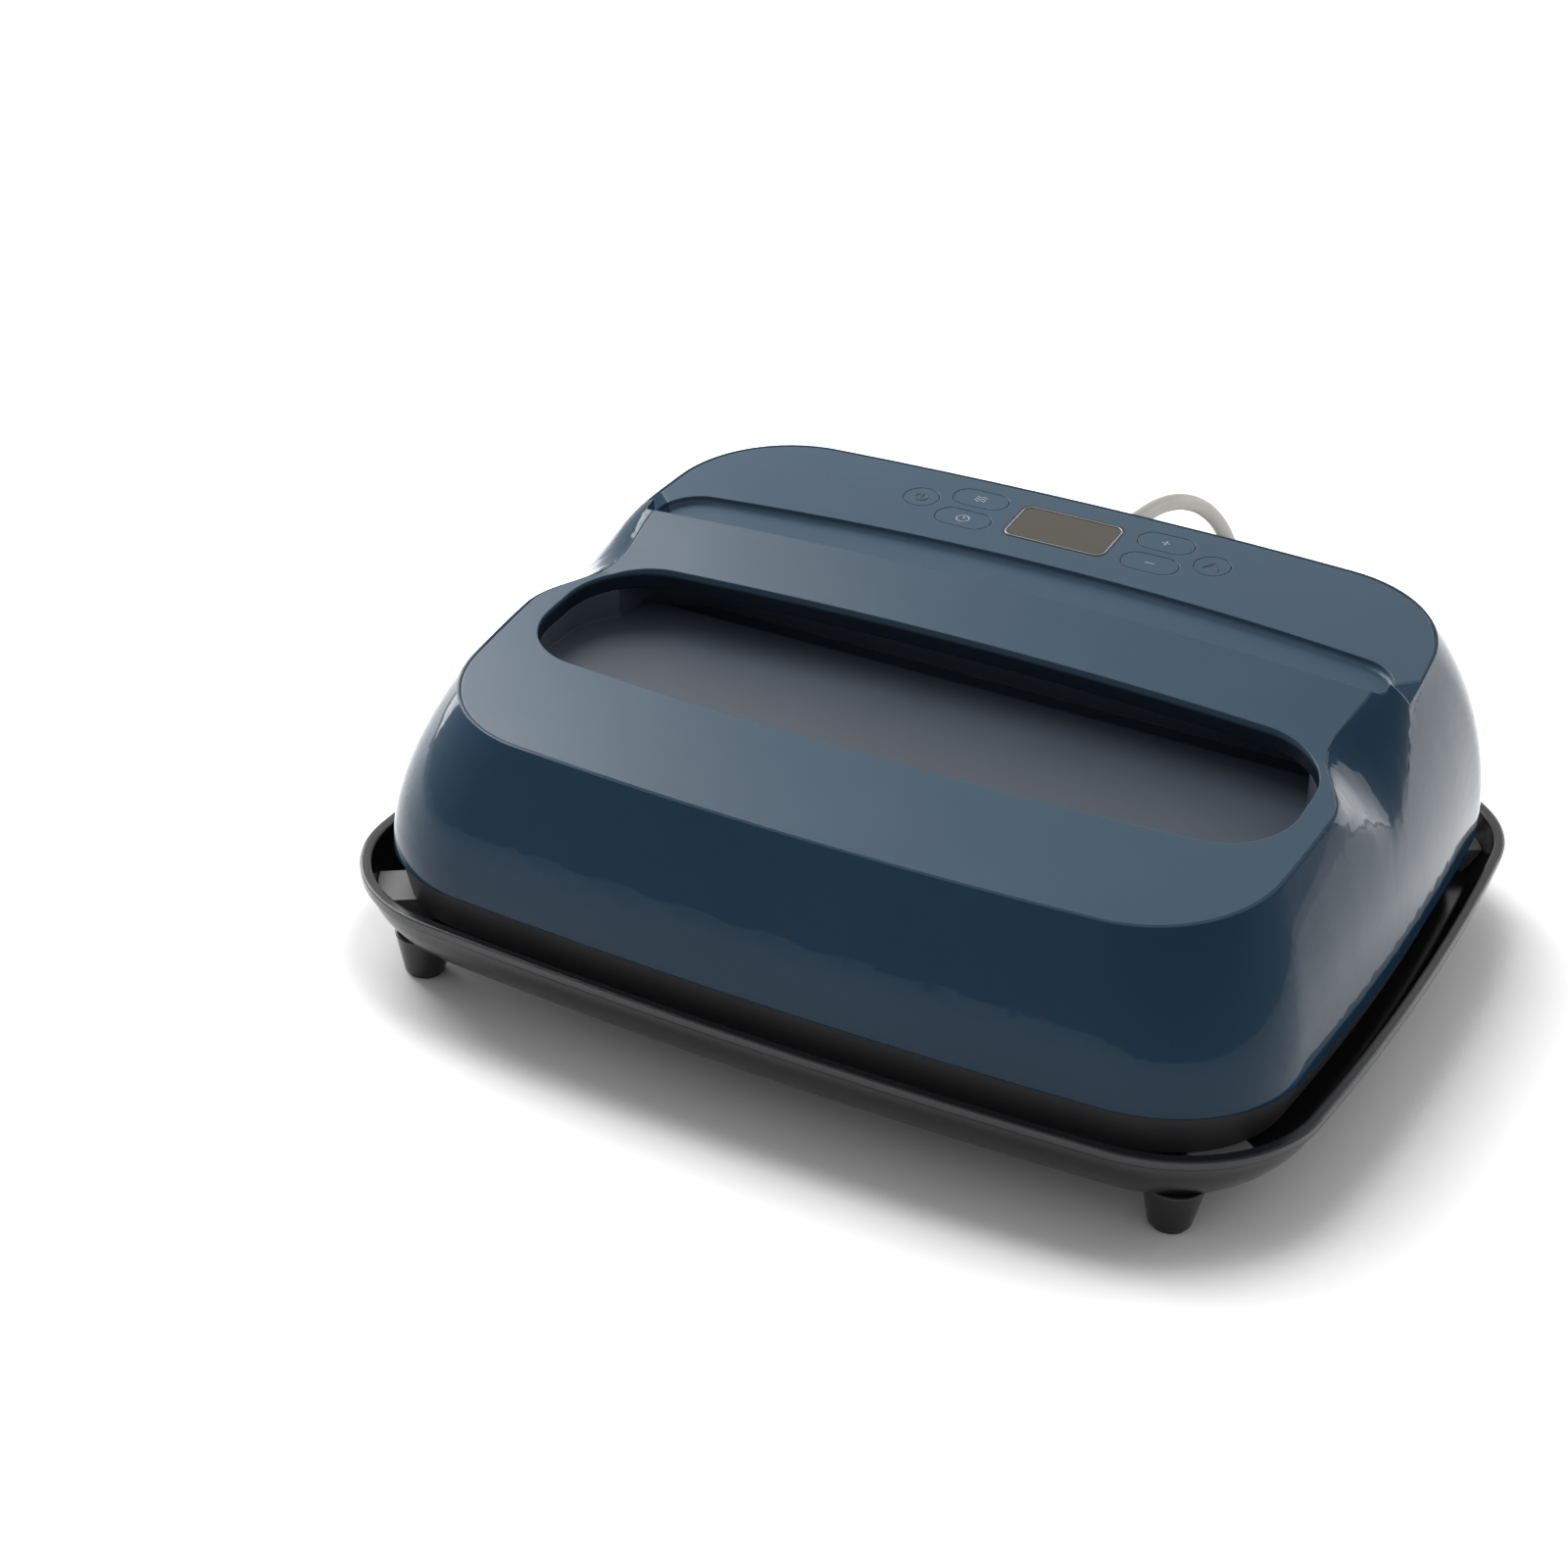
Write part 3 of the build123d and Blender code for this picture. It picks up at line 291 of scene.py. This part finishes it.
foot_rubber = plastic("foot_rubber", tone(24, 24, 24), tone(31, 31, 31), (0.6, 0.75), 0.00006)
rest_silicone = plastic("rest_silicone", tone(126, 126, 127), tone(136, 136, 137), (0.5, 0.62), 0.00003)
button_satin = plastic("button_satin", tone(60, 84, 102), tone(65, 89, 107), (0.36, 0.43), 0.00002, 0.0003)
button_satin.set(Specular_IOR_Level=0.3)
lens_clear = plastic("lens_clear", tone(84, 80, 72), tone(92, 88, 80), (0.16, 0.22), 0.000002, 0.0003)
lens_clear.set(Specular_IOR_Level=0.3)
screen_film = plastic("screen_film", tone(84, 85, 80), tone(92, 93, 88), (0.3, 0.4))
circuit_mask = plastic("circuit_mask", tone(18, 74, 40), tone(26, 92, 52), (0.28, 0.4), 0.00004)
part_black = plastic("part_black", tone(26, 26, 28), tone(36, 36, 38), (0.35, 0.5), 0.00004)
terminal_ivory = plastic("terminal_ivory", tone(206, 200, 180), tone(216, 211, 193), (0.35, 0.48))
lead_sleeve = plastic("lead_sleeve", tone(196, 195, 190), tone(206, 205, 200), (0.4, 0.5))
cord_jacket = plastic("cord_jacket", tone(150, 148, 140), tone(160, 158, 150), (0.42, 0.52), 0.00003)
tie_black = plastic("tie_black", tone(28, 28, 29), tone(36, 36, 37), (0.45, 0.6), 0.00005)
sign_dark = plastic("sign_dark", tone(24, 32, 40), tone(30, 38, 46), (0.35, 0.45), 0.00001)
sign_pale = plastic("sign_pale", tone(150, 160, 170), tone(160, 170, 180), (0.35, 0.45), 0.00001)
frame_dark = plastic("frame_dark", tone(14, 15, 17), tone(18, 19, 21), (0.35, 0.45), 0.00001)
bezel_silver = metal("bezel_silver", tone(176, 180, 184), tone(196, 200, 204), (0.18, 0.3))
screw_steel = metal("screw_steel", tone(150, 150, 150), tone(178, 178, 177), (0.28, 0.42))
plate_coating = plastic("plate_coating", tone(52, 50, 47), tone(60, 58, 55), (0.32, 0.42), 0.00004)
element_sheath = metal("element_sheath", tone(98, 90, 84), tone(122, 112, 100), (0.4, 0.55))
sheet_metal = metal("sheet_metal", tone(180, 181, 183), tone(202, 203, 205), (0.28, 0.4))
blade_plated = metal("blade_plated", tone(206, 188, 140), tone(220, 204, 160), (0.2, 0.3))
fibre = Finish("fibre_mat", "weave")
fibre.colour(fibre.mask("Thread"), tone(188, 182, 166), tone(226, 222, 208))
fibre.roughness(fibre.mask("Fluff"), 0.8, 0.95)
fibre.relief(fibre.mask("Thread"), 0.0003, 0.8)

NODE_FINISH = {
    "base_tray": tray_satin, "base_feet": tray_satin, "foot_pads": foot_rubber, "rest_pads": rest_silicone,
    "side_shell": shell_gloss, "top_cover": cover_satin, "grip_liner": liner_satin, "skirt_frame": skirt_matt,
    "display_lens": lens_clear, "display_module": screen_film, "control_board": circuit_mask,
    "button_switches": part_black, "buzzer": part_black, "control_board_screws": screw_steel,
    "cover_screws": screw_steel, "liner_screws": screw_steel, "case_screws": screw_steel,
    "heat_plate": plate_coating, "heating_element": element_sheath, "plate_spacers": terminal_ivory,
    "plate_screws": screw_steel, "thermal_cutout": part_black, "temperature_sensor": sheet_metal,
    "insulation_mat": fibre, "heat_shield": sheet_metal, "power_board": circuit_mask,
    "board_standoffs": screw_steel, "power_board_screws": screw_steel, "power_board_parts": part_black,
    "heat_sink": sheet_metal, "terminal_block": terminal_ivory, "mains_lead": lead_sleeve,
    "element_leads": lead_sleeve, "cord_gland": cord_jacket, "power_cord": cord_jacket, "cord_coil": cord_jacket,
    "cord_tie": tie_black, "plug_body": cord_jacket, "plug_blades": blade_plated,
}
for name in ("power", "temperature", "timer", "plus", "minus", "start"):
    NODE_FINISH["button_" + name] = button_satin
for node, finish in NODE_FINISH.items():
    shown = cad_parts[node]
    shown.data.materials.clear()
    shown.data.materials.append(finish.material)


def dress(piece, finish, body):
    piece.data.materials.clear()
    piece.data.materials.append(finish.material)
    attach(piece, body)
    return piece


# Free cord: one smooth line from its boot over the floor into the coil behind the press

CORD_ROUTE = [
    (0.0, 159.0, 104.2), (0.0, 185.4, 104.2), (0.0, 229.9, 90.8), (0.0, 267.0, 69.7), (-1.0, 296.0, 43.5),
    (-5.0, 320.0, 18.5), (-18.0, 348.0, 4.6), (-50.0, 372.0, 3.9), (-94.0, 371.0, 3.9), (-126.0, 336.0, 4.2),
    (-132.85, 285.6, 5.2), (-132.85, 251.0, 5.2),
]
COIL_CENTRE = (-84.0, 238.0)
COIL_OUTER, COIL_INNER, TURN_STEP = 48.85, 26.35, 7.5
COIL_LOW, COIL_HIGH, PLUG_OFFSET = 5.2, 12.7, 15.0
HALF_TURNS, POINTS_PER_HALF = 6, 8
CHORD_SPREAD = 1.012  # the smooth line runs a little inside its points
CORD_RADIUS = 3.4
PLUG_LEAD = (2.0, 6.8)


def coil_marks():
    marks = [(COIL_OUTER - half * TURN_STEP / 2, COIL_LOW) for half in range(HALF_TURNS + 1)]
    marks.append((COIL_INNER - TURN_STEP / 2, COIL_HIGH))
    marks += [(COIL_INNER + half * TURN_STEP / 2, COIL_HIGH) for half in range(1, HALF_TURNS)]
    return marks + [(COIL_OUTER + PLUG_OFFSET, COIL_HIGH)]


def coil_points():
    marks = coil_marks()
    points = []
    for index, ((reach, low), (next_reach, high)) in enumerate(zip(marks, marks[1:])):
        side = 1 if index % 2 else -1
        middle = side * (reach - next_reach) / 2
        radius = (reach + next_reach) / 2 * CHORD_SPREAD
        for step in range(POINTS_PER_HALF):
            share = (step + 0.5) / POINTS_PER_HALF
            turn = pi * share
            climb = share * share * (3 - 2 * share)
            x = COIL_CENTRE[0] + middle + side * radius * cos(turn)
            y = COIL_CENTRE[1] + side * radius * sin(turn)
            points.append((x, y, low + (high - low) * climb))
    return points


def free_cord():
    end_x = COIL_CENTRE[0] + COIL_OUTER + PLUG_OFFSET
    route = CORD_ROUTE + coil_points()
    route += [(end_x, COIL_CENTRE[1] + lead, COIL_HIGH) for lead in PLUG_LEAD]
    line = bpy.data.curves.new("cord_line", "CURVE")
    line.dimensions = "3D"
    line.bevel_depth = CORD_RADIUS * MM
    line.bevel_resolution = 6
    line.use_fill_caps = True
    spline = line.splines.new("NURBS")
    spline.points.add(len(route) - 1)
    for point, (x, y, z) in zip(spline.points, route):
        point.co = (x * MM, y * MM, z * MM, 1.0)
    spline.order_u = 3
    spline.use_endpoint_u = True
    spline.resolution_u = 8
    piece = bpy.data.objects.new("free_cord", line)
    bpy.context.scene.collection.objects.link(piece)
    dress(piece, cord_jacket, "press")
    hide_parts("power_cord", "cord_coil")
    return piece


free_cord()


# Shell with its rolled ends blended into the side walls

ROLL_FRONT, ROLL_REAR, ROLL_LOW, ROLL_FADE = -66.0, 60.0, 54.0, 12.0
ROLL_INNER, ROLL_TOP = 110.0, DECK_HEIGHT + 8.0
CUT_STEP, MERGE_GAP = 3.0, 0.005
EDGE_KEPT, EDGE_FADE = 0.6, 4.0
FACING_OUT = 0.12
BLEND_STEPS = 60
CREASE_ANGLE = radians(40)


def ramp(value, low, high):
    share = min(max((value - low) / (high - low), 0.0), 1.0)
    return share * share * (3 - 2 * share)


def roll_weight(vertex):
    x, y, z = (part / MM for part in vertex.co)
    outward = vertex.normal.x * (1 if x > 0 else -1)
    if outward < FACING_OUT or abs(x) < ROLL_INNER:
        return 0.0
    below = DECK_HEIGHT + y * tan(DECK_TILT) - z
    along = ramp(y, ROLL_FRONT, ROLL_FRONT + ROLL_FADE)
    along *= ramp(-y, -ROLL_REAR, ROLL_FADE - ROLL_REAR)
    return along * ramp(z, ROLL_LOW, ROLL_LOW + ROLL_FADE) * ramp(below, EDGE_KEPT, EDGE_FADE)


def shell_skin():
    """A copy of the CAD shell, cut finer round the rolled ends and smoothed there, with its top edge kept."""
    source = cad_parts["side_shell"]
    piece = bpy.data.objects.new("shell_skin", source.data.copy())
    bpy.context.scene.collection.objects.link(piece)
    edit(piece, "VERT")
    bpy.ops.mesh.remove_doubles(threshold=MERGE_GAP * MM)
    for axis, low, high in (((0, 1, 0), ROLL_FRONT, ROLL_REAR), ((0, 0, 1), ROLL_LOW, ROLL_TOP)):
        for step in range(int((high - low) / CUT_STEP) + 1):
            place = Vector(axis) * (low + step * CUT_STEP) * MM
            bpy.ops.mesh.select_all(action="SELECT")
            bpy.ops.mesh.bisect(plane_co=place, plane_no=axis)
    leave()
    group = piece.vertex_groups.new(name="roll")
    for vertex in piece.data.vertices:
        weight = roll_weight(vertex)
        if weight > 0:
            group.add([vertex.index], weight, "REPLACE")
    smooth = piece.modifiers.new("blend", "SMOOTH")
    smooth.factor = 0.5
    smooth.iterations = BLEND_STEPS
    smooth.vertex_group = "roll"
    take(piece)
    bpy.ops.object.modifier_apply(modifier="blend")
    bpy.ops.mesh.customdata_custom_splitnormals_clear()
    bpy.ops.object.shade_smooth_by_angle(angle=CREASE_ANGLE, keep_sharp_edges=False)
    dress(piece, shell_gloss, "press")
    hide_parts("side_shell")
    return piece


shell_skin()


# Signs on the buttons

SIGN_HEIGHT, SIGN_BEVEL = 0.2, 0.02
STROKE = 0.65
WAVE_LENGTH, WAVE_RISE, WAVE_PITCH, WAVE_STEP = 4.6, 0.36, 2.9, 1.4
POWER_RADIUS, POWER_GAP, POWER_STEM, STEM_CENTRE = 2.5, 2.2, 2.9, 1.5
CLOCK_RADIUS, LONG_HAND, SHORT_HAND = 2.4, (1.9, 0.7), (1.5, 0.5)
PLUS_SPAN, MINUS_SPAN = 3.5, 3.8
CARET_HALF, CARET_RISE = 2.9, 4.0


def bar(length, width, place=(0.0, 0.0), turn=0.0):
    clear_selection()
    bpy.ops.mesh.primitive_cube_add(size=1.0)
    piece = bpy.context.object
    edit(piece, "EDGE")
    bpy.ops.transform.resize(value=(length * MM, width * MM, SIGN_HEIGHT * MM))
    bpy.ops.mesh.bevel(offset=SIGN_BEVEL * MM, segments=1)
    leave()
    settle(piece, Matrix.Translation((place[0] * MM, place[1] * MM, 0.0)) @ Matrix.Rotation(turn, 4, "Z"))
    return piece


def ring(radius, gap=0.0):
    clear_selection()
    bpy.ops.mesh.primitive_torus_add(
        major_radius=radius * MM, minor_radius=STROKE / 2 * MM, major_segments=48, minor_segments=8)
    piece = bpy.context.object
    edit(piece, "VERT")
    bpy.ops.transform.resize(value=(1.0, 1.0, SIGN_HEIGHT / STROKE))
    if gap:
        bpy.ops.mesh.select_all(action="DESELECT")
        leave()
        for vertex in piece.data.vertices:
            vertex.select = vertex.co.y > 0 and abs(vertex.co.x) < gap / 2 * MM
        take(piece)
        bpy.ops.object.mode_set(mode="EDIT")
        bpy.ops.mesh.delete(type="VERT")
        bpy.ops.mesh.select_all(action="SELECT")
        bpy.ops.mesh.fill_holes(sides=0)
    leave()
    return piece


def wave(offset):
    clear_selection()
    bpy.ops.mesh.primitive_grid_add(x_subdivisions=20, y_subdivisions=1, size=1.0)
    piece = bpy.context.object
    edit(piece)
    bpy.ops.transform.resize(value=(WAVE_LENGTH * MM, STROKE * MM, 1.0))
    leave()
    for vertex in piece.data.vertices:
        vertex.co.y += (offset + WAVE_RISE * sin(vertex.co.x / MM * 2 * pi / WAVE_PITCH)) * MM
    edit(piece)
    bpy.ops.mesh.extrude_region_move(TRANSFORM_OT_translate={"value": (0, 0, SIGN_HEIGHT / 2 * MM)})
    bpy.ops.mesh.select_all(action="SELECT")
    bpy.ops.mesh.normals_make_consistent(inside=False)
    leave()
    return piece


def sign(name, finish, parts, u, v):
    take(parts[0])
    for part in parts[1:]:
        part.select_set(True)
    if len(parts) > 1:
        bpy.ops.object.join()
    piece = bpy.context.view_layer.objects.active
    piece.name = "sign_" + name
    settle(piece, deck(u, v, 0.0))
    return dress(piece, finish, "button_" + name)


caret_turn = atan2(CARET_RISE, CARET_HALF)
caret_leg = hypot(CARET_RISE, CARET_HALF) + STROKE

high_row, low_row = PANEL_CENTRE + PANEL_ROW, PANEL_CENTRE - PANEL_ROW

sign("power", sign_dark, [ring(POWER_RADIUS, POWER_GAP), bar(STROKE, POWER_STEM, (0.0, STEM_CENTRE))],
     -ROUND_X, PANEL_CENTRE)
sign("temperature", sign_pale, [wave(-WAVE_STEP), wave(0.0), wave(WAVE_STEP)], -PILL_X, high_row)
sign("timer", sign_pale, [ring(CLOCK_RADIUS), bar(STROKE, LONG_HAND[0], (0.0, LONG_HAND[1])),
                          bar(SHORT_HAND[0], STROKE, (SHORT_HAND[1], 0.0))], -PILL_X, low_row)
sign("plus", sign_pale, [bar(PLUS_SPAN, STROKE), bar(STROKE, PLUS_SPAN)], PILL_X, high_row)
sign("minus", sign_pale, [bar(MINUS_SPAN, STROKE)], PILL_X, low_row)
sign("start", sign_dark, [bar(caret_leg, STROKE, (side * CARET_HALF / 2, 0.0), -side * caret_turn)
                          for side in (-1, 1)], ROUND_X, PANEL_CENTRE)


# Frame lines round the display, each inside the one before

FRAME_LENGTH, FRAME_WIDTH = 41.4, 24.4
FRAME_CORNER, FRAME_SINK = 3.9, 0.02
FRAME_LINES = [
    ("display_rim", frame_dark, "button_plastic", 0.6, 0.10),
    ("display_frame", bezel_silver, "steel", 0.42, 0.14),
    ("display_shade", frame_dark, "button_plastic", 0.4, 0.08),
]


def frame_line(name, finish, length, width, stroke, height):
    clear_selection()
    bpy.ops.mesh.primitive_plane_add(size=1.0)
    piece = bpy.context.object
    edit(piece, "VERT")
    bpy.ops.transform.resize(value=(length * MM, width * MM, 1.0))
    bpy.ops.mesh.bevel(offset=FRAME_CORNER * MM, segments=8, affect="VERTICES")
    bpy.ops.mesh.select_mode(type="FACE")
    bpy.ops.mesh.select_all(action="SELECT")
    bpy.ops.mesh.inset(thickness=stroke * MM)
    bpy.ops.mesh.delete(type="FACE")
    bpy.ops.mesh.select_all(action="SELECT")
    bpy.ops.mesh.extrude_region_move(TRANSFORM_OT_translate={"value": (0, 0, height * MM)})
    bpy.ops.mesh.select_all(action="SELECT")
    bpy.ops.mesh.normals_make_consistent(inside=False)
    leave()
    piece.name = name
    settle(piece, deck(0.0, PANEL_CENTRE, -FRAME_SINK))
    return dress(piece, finish, "press")


inset = 0.0
for name, finish, slot, stroke, height in FRAME_LINES:
    frame_line(name, finish, FRAME_LENGTH - inset, FRAME_WIDTH - inset, stroke, height)
    inset += 2 * stroke


# Floor, light and camera, in metres

FLOOR_SIZE, SHADOW_REACH = 240.0, 0.08
OPEN_FROM, OPEN_TO, FLOOR_GLOW = 0.62, 1.0, 0.9
AIR_LEAN = (-0.45, 0.75, 0.3)
SOFTBOXES = [
    ("softbox_key", (-1.0, 0.35, 0.95), (0.0, 0.0, 0.1), 0.9, 0.9, 15.0),
    ("softbox_right", (0.75, 1.6, 0.6), (0.1, 0.0, 0.08), 1.1, 1.15, 8.5),
    ("softbox_left", (-1.5, 0.5, 0.4), (0.0, 0.0, 0.1), 0.6, 0.7, 7.0),
]
CAMERA_TURN, CAMERA_RISE, CAMERA_ROLL = radians(27.596), radians(27.827), radians(2.59)
CAMERA_AIM, CAMERA_REACH = (-0.0673, -0.0228, 0.05), 1.059
LENS_LENGTH, SENSOR_WIDTH, LENS_SHIFT = 66.86, 36.0, 0.0194


def floor():
    """White floor: seen straight or mirrored it is white; an occlusion mask takes its emission away near the
    press, a painted contact shadow, and its diffuse part darkens in the press's real shadow.
    """
    clear_selection()
    bpy.ops.mesh.primitive_plane_add(size=FLOOR_SIZE)
    piece = bpy.context.object
    piece.name = "studio_floor"
    paint = bpy.data.materials.new("studio_white")
    paint.use_nodes = True
    tree = paint.node_tree
    shader = tree.nodes["Principled BSDF"]
    shader.inputs["Base Color"].default_value = (0.86, 0.86, 0.86, 1.0)
    shader.inputs["Roughness"].default_value = 0.9
    shader.inputs["Specular IOR Level"].default_value = 0.1
    near = tree.nodes.new("ShaderNodeAmbientOcclusion")
    near.samples = 16
    near.inputs["Distance"].default_value = SHADOW_REACH
    rays = tree.nodes.new("ShaderNodeLightPath").outputs
    # painted contact shadow: the white emission fades where the press hides the floor, within SHADOW_REACH
    glow = spread(tree, near.outputs["AO"], OPEN_FROM, OPEN_TO, 0.0, FLOOR_GLOW)
    seen = rays["Is Camera Ray"]
    for label in ("Is Glossy Ray", "Is Transmission Ray"):
        seen = combine(tree, "ADD", rays[label], seen)
        seen.node.use_clamp = True
    strength = combine(tree, "MULTIPLY", seen, glow)
    light = tree.nodes.new("ShaderNodeEmission")
    tree.links.new(strength, light.inputs["Strength"])
    total = tree.nodes.new("ShaderNodeAddShader")
    tree.links.new(shader.outputs["BSDF"], total.inputs[0])
    tree.links.new(light.outputs["Emission"], total.inputs[1])
    tree.links.new(total.outputs["Shader"], tree.nodes["Material Output"].inputs["Surface"])
    piece.data.materials.append(paint)


def softbox(name, place, aim, width, height, power):
    lamp = bpy.data.lights.new(name, "AREA")
    lamp.shape = "RECTANGLE"
    lamp.size = width
    lamp.size_y = height
    lamp.energy = power
    holder = bpy.data.objects.new(name, lamp)
    bpy.context.scene.collection.objects.link(holder)
    way = Vector(aim) - Vector(place)
    holder.location = place
    holder.rotation_euler = way.to_track_quat("-Z", "Y").to_euler()


def studio():
    """White air, brightest at the horizon and behind on the left, and three soft lamps."""
    world = bpy.data.worlds.new("studio_air")
    bpy.context.scene.world = world
    world.use_nodes = True
    tree = world.node_tree
    place = tree.nodes.new("ShaderNodeTexCoord").outputs["Generated"]
    lean = tree.nodes.new("ShaderNodeVectorMath")
    lean.operation = "DOT_PRODUCT"
    lean.inputs[1].default_value = AIR_LEAN
    tree.links.new(place, lean.inputs[0])
    split = tree.nodes.new("ShaderNodeSeparateXYZ")
    tree.links.new(place, split.inputs["Vector"])
    fall = spread(tree, split.outputs["Z"], 0.0, 0.75, 1.0, 0.5)
    turned = spread(tree, lean.outputs["Value"], -0.8, 0.8, 0.55, 1.05)
    tree.links.new(combine(tree, "MULTIPLY", fall, turned), tree.nodes["Background"].inputs["Strength"])
    tree.nodes["Background"].inputs["Color"].default_value = (1.0, 1.0, 1.0, 1.0)
    for lamp in SOFTBOXES:
        softbox(*lamp)


def photo_camera():
    """Camera fitted to the photograph by the mirror symmetry of the press."""
    level = cos(CAMERA_RISE)
    back = Vector((sin(CAMERA_TURN) * level, -cos(CAMERA_TURN) * level, sin(CAMERA_RISE)))
    flat = Vector((cos(CAMERA_TURN), sin(CAMERA_TURN), 0.0))
    high = back.cross(flat)
    right = flat * cos(CAMERA_ROLL) + high * sin(CAMERA_ROLL)
    up = high * cos(CAMERA_ROLL) - flat * sin(CAMERA_ROLL)
    eye = Vector(CAMERA_AIM) + back * CAMERA_REACH
    lens = bpy.data.cameras.new("photo_camera")
    lens.sensor_width = SENSOR_WIDTH
    lens.lens = LENS_LENGTH
    lens.shift_x = LENS_SHIFT
    lens.clip_start = 0.05
    holder = bpy.data.objects.new("photo_camera", lens)
    bpy.context.scene.collection.objects.link(holder)
    holder.matrix_world = Matrix.Translation(eye) @ Matrix((right, up, back)).transposed().to_4x4()
    bpy.context.scene.camera = holder


floor()
studio()
photo_camera()
bpy.context.scene.view_settings.view_transform = "Standard"
